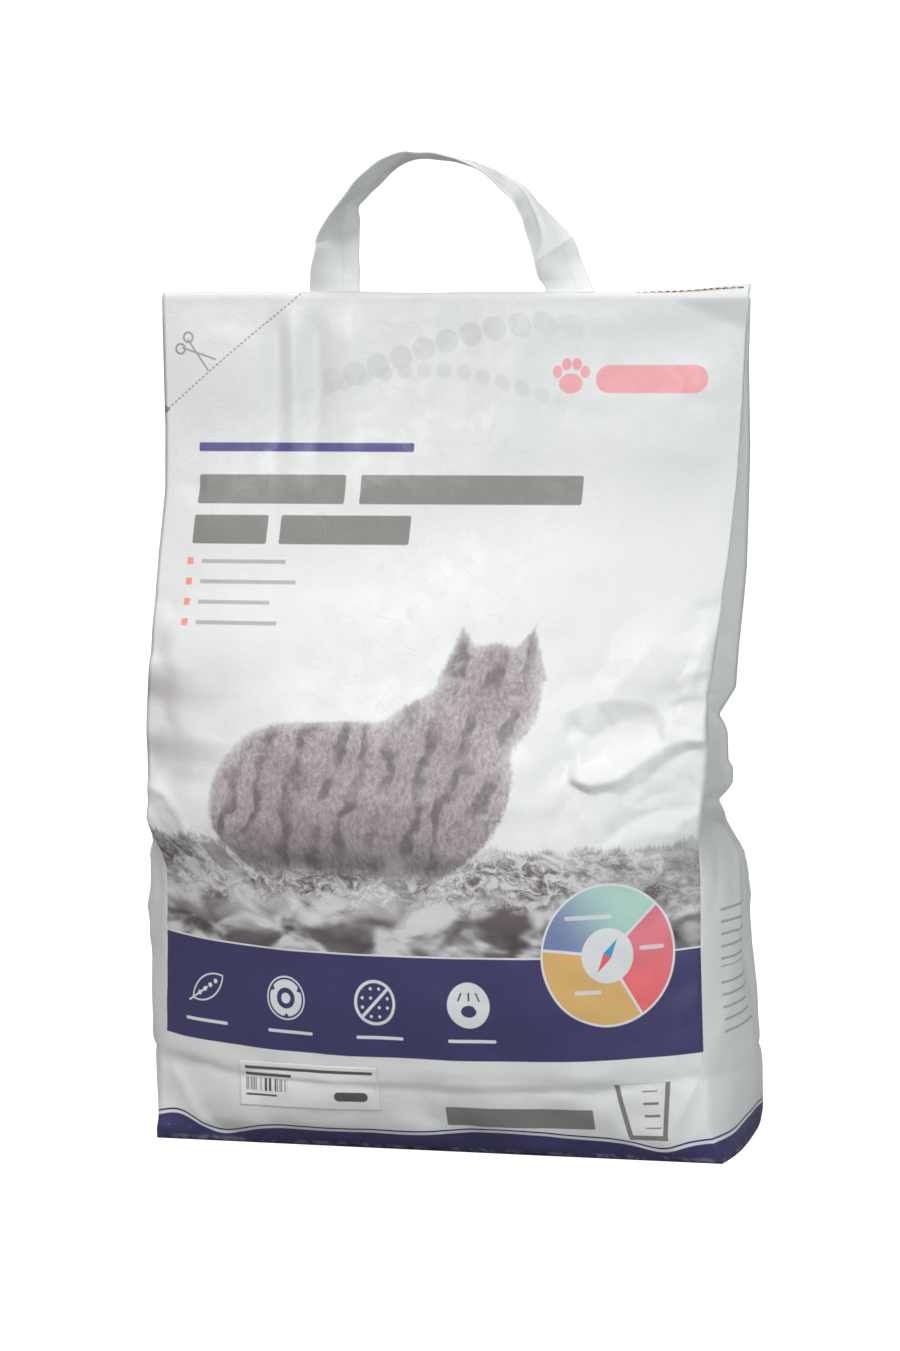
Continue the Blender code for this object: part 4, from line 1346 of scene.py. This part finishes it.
class LITTERBAG_OT_seam(Operator):
    """Builds both threads of the hem's chain stitch"""

    bl_idname = "litterbag.seam"
    bl_label = "Build the seam"

    def execute(self, context):
        seam, width = context.scene.seam_shape, context.scene.strap_shape.width
        cotton = thread_cotton()
        stitches = int(SEAM_LENGTH / seam.pitch)
        x = np.linspace(SEAM_START, SEAM_START + stitches * seam.pitch, stitches * 12 + 1)
        phase = (x - SEAM_START) / seam.pitch
        arch = np.abs(np.sin(math.pi * phase)) ** 0.6
        out = HEM_HALF + seam.radius * (2.3 * arch - 1.1) + over_straps(x, width)
        y, z = hem_place(x, SEAM_ALONG, out)
        needle = tube("needle_stitches", np.stack([x, y, z], -1), seam.radius, seam.pitch)
        finish_piece(needle, cotton, "needle_thread")
        sway = np.sin(2 * math.pi * phase) * 0.45 * MM
        y, z = hem_place(x, SEAM_ALONG + sway, -(HEM_HALF + seam.radius * (0.5 + 0.9 * arch)))
        looper = tube("looper_chain", np.stack([x, y, z], -1), seam.radius * 1.15, seam.pitch)
        finish_piece(looper, cotton, "looper_thread")
        return {"FINISHED"}


class LITTERBAG_OT_label(Operator):
    """Builds the adhesive label low on the front"""

    bl_idname = "litterbag.label"
    bl_label = "Build the label"

    def execute(self, context):
        shape = context.scene.bag_shape
        columns, rows = 72, 26
        a, b = np.meshgrid(np.linspace(0, 1, columns + 1), np.linspace(0, 1, rows + 1))
        wide, tall = LABEL_HIGH.x - LABEL_LOW.x, LABEL_HIGH.z - LABEL_LOW.z
        x = LABEL_LOW.x + wide * a
        z = LABEL_LOW.z + tall * b + 0.0006 * a
        y = front_depth(shape, x, z)
        lift = 0.00030 + 0.0010 * bump_at(a, 1.0, 0.05) * bump_at(b, 1.0, 0.16)
        outer = np.stack([x, y - lift, z], -1)
        inner = np.stack([x, y - lift + 0.00016, z], -1)
        count = outer.shape[0] * outer.shape[1]
        ring = columns + 1
        quads = grid_quads(rows + 1, ring)
        index = np.arange(count).reshape(rows + 1, ring)
        border = np.concatenate([index[0, :-1], index[:-1, -1], index[-1, :0:-1], index[:0:-1, 0]])
        after = np.roll(border, -1)
        walls = np.stack([border, border + count, after + count, after], -1)
        points = np.concatenate([outer.reshape(-1, 3), inner.reshape(-1, 3)])
        faces = np.concatenate([quads, quads[:, ::-1] + count, walls])
        flat = np.stack([a * wide, b * tall], -1).reshape(-1, 2)
        piece = put_mesh("adhesive_label", points, faces, np.concatenate([flat, flat])[faces])
        face_out(piece.data)
        finish_piece(piece, label_paper(), "shelf_label")
        return {"FINISHED"}


# ---------------------------------------------------------------- the stage

# Soft square lights: (name, place, size, power, colour)
LAMPS = (
    ("key", (-0.30, -0.95, 1.15), 0.36, 8.9, (1.0, 1.0, 1.0)),
    ("side", (0.95, -0.90, 0.50), 0.60, 6.4, (0.90, 0.96, 1.0)),
    ("top", (-0.15, 0.10, 1.25), 0.70, 5.8, (1.0, 1.0, 1.0)),
)
LAMP_TARGET = (0.0, 0.0, 0.20)
WORLD_LIGHT = 0.30  # how strongly the white world lights the bag; a camera sees it at 1
CAMERA_YAW, CAMERA_PITCH, CAMERA_DISTANCE = math.radians(11.2), math.radians(4.5), 1.318
CAMERA_AIM = (-0.0022, 0.0, 0.1995)
LENS_MM, SENSOR_MM = 79.9408, 36


def lay_sweep():
    """Floor and backdrop: one sheet, flat under the bag and curved up behind it."""
    stations = 60
    run = np.linspace(0, 1, stations)
    bend = (run - 0.6) / 0.4 * math.pi / 2
    depth = np.where(run < 0.6, -3.0 + run / 0.6 * 5.0, 2.0 + np.sin(bend))
    height = np.where(run < 0.6, 0.0, (1 - np.cos(bend)) * 4.0)
    across = np.array([-5.0, 5.0])
    points = np.stack([np.tile(across, stations), np.repeat(depth, 2), np.repeat(height, 2) - 0.0002], -1)
    floor = put_mesh("studio_sweep", points, grid_quads(stations, 2))
    paint = Paint("studio_white")
    seen = paint.node("ShaderNodeLightPath", {})
    paint.set("Base Color", (0.45, 0.45, 0.45))
    paint.set("Roughness", 0.9)
    paint.set("Specular IOR Level", 0.0)
    paint.set("Emission Color", paint.mix(seen, (0.0, 0.0, 0.0), (1.0, 1.0, 1.0)))
    paint.set("Emission Strength", 1.0)
    floor.data.materials.append(paint.material)


def light_world(scene):
    """A white world that lights the bag less strongly than a camera sees it."""
    world = bpy.data.worlds.new("studio")
    scene.world = world
    world.use_nodes = True
    nodes, links = world.node_tree.nodes, world.node_tree.links
    path = nodes.new("ShaderNodeLightPath")
    strength = nodes.new("ShaderNodeMapRange")
    strength.inputs[3].default_value, strength.inputs[4].default_value = WORLD_LIGHT, 1.0
    links.new(path.outputs[0], strength.inputs[0])
    links.new(strength.outputs[0], nodes["Background"].inputs[1])
    nodes["Background"].inputs[0].default_value = (1.0, 1.0, 1.0, 1.0)


def hang_lamps(scene):
    """The soft lights, each turned towards the bag."""
    for name, place, size, power, tint in LAMPS:
        lamp = bpy.data.lights.new(name, "AREA")
        lamp.size, lamp.energy, lamp.color = size, power, tint
        thing = bpy.data.objects.new(name, lamp)
        thing.location = place
        thing.rotation_euler = (Vector(LAMP_TARGET) - Vector(place)).to_track_quat("-Z", "Y").to_euler()
        scene.collection.objects.link(thing)


def place_camera(scene):
    """The camera: a little to the right of the front and a little above the middle."""
    flat = math.cos(CAMERA_PITCH)
    back = Vector((math.sin(CAMERA_YAW) * flat, -math.cos(CAMERA_YAW) * flat, math.sin(CAMERA_PITCH)))
    data = bpy.data.cameras.new("camera")
    data.lens, data.sensor_width = LENS_MM, SENSOR_MM
    camera = bpy.data.objects.new("camera", data)
    camera.location = Vector(CAMERA_AIM) + back * CAMERA_DISTANCE
    camera.rotation_euler = (-back).to_track_quat("-Z", "Y").to_euler()
    scene.collection.objects.link(camera)
    scene.camera = camera


class LITTERBAG_OT_stage(Operator):
    """Sets the pale floor, the soft lights and the camera"""

    bl_idname = "litterbag.stage"
    bl_label = "Set the stage"

    def execute(self, context):
        lay_sweep()
        light_world(context.scene)
        hang_lamps(context.scene)
        place_camera(context.scene)
        context.scene.view_settings.view_transform = "Standard"
        return {"FINISHED"}


class LITTERBAG_PT_panel(Panel):
    """Lists the bag's settings and its steps"""

    bl_idname = "LITTERBAG_PT_panel"
    bl_label = "Litter bag"
    bl_space_type = "VIEW_3D"
    bl_region_type = "UI"
    bl_category = "Litter bag"

    def draw(self, context):
        layout = self.layout
        for group in GROUPS:
            box = layout.box()
            box.label(text=group.replace("_", " ").title())
            settings = getattr(context.scene, group)
            for key in settings.bl_rna.properties.keys():
                if key not in ("rna_type", "name"):
                    box.prop(settings, key)
        for operator in OPERATORS:
            layout.operator(operator.bl_idname)


GROUPS = {
    "bag_shape": BagShape,
    "bag_colours": BagColours,
    "strap_shape": StrapShape,
    "seam_shape": SeamShape,
}
OPERATORS = (LITTERBAG_OT_bag, LITTERBAG_OT_handle, LITTERBAG_OT_seam, LITTERBAG_OT_label, LITTERBAG_OT_stage)
CLASSES = (*GROUPS.values(), *OPERATORS, LITTERBAG_PT_panel)


def register():
    for cls in CLASSES:
        bpy.utils.register_class(cls)
    for name, group in GROUPS.items():
        setattr(bpy.types.Scene, name, PointerProperty(type=group))


def unregister():
    for name in GROUPS:
        delattr(bpy.types.Scene, name)
    for cls in reversed(CLASSES):
        bpy.utils.unregister_class(cls)


def main():
    register()
    for operator in OPERATORS:
        group, name = operator.bl_idname.split(".")
        getattr(getattr(bpy.ops, group), name)()


if __name__ == "__main__":
    main()
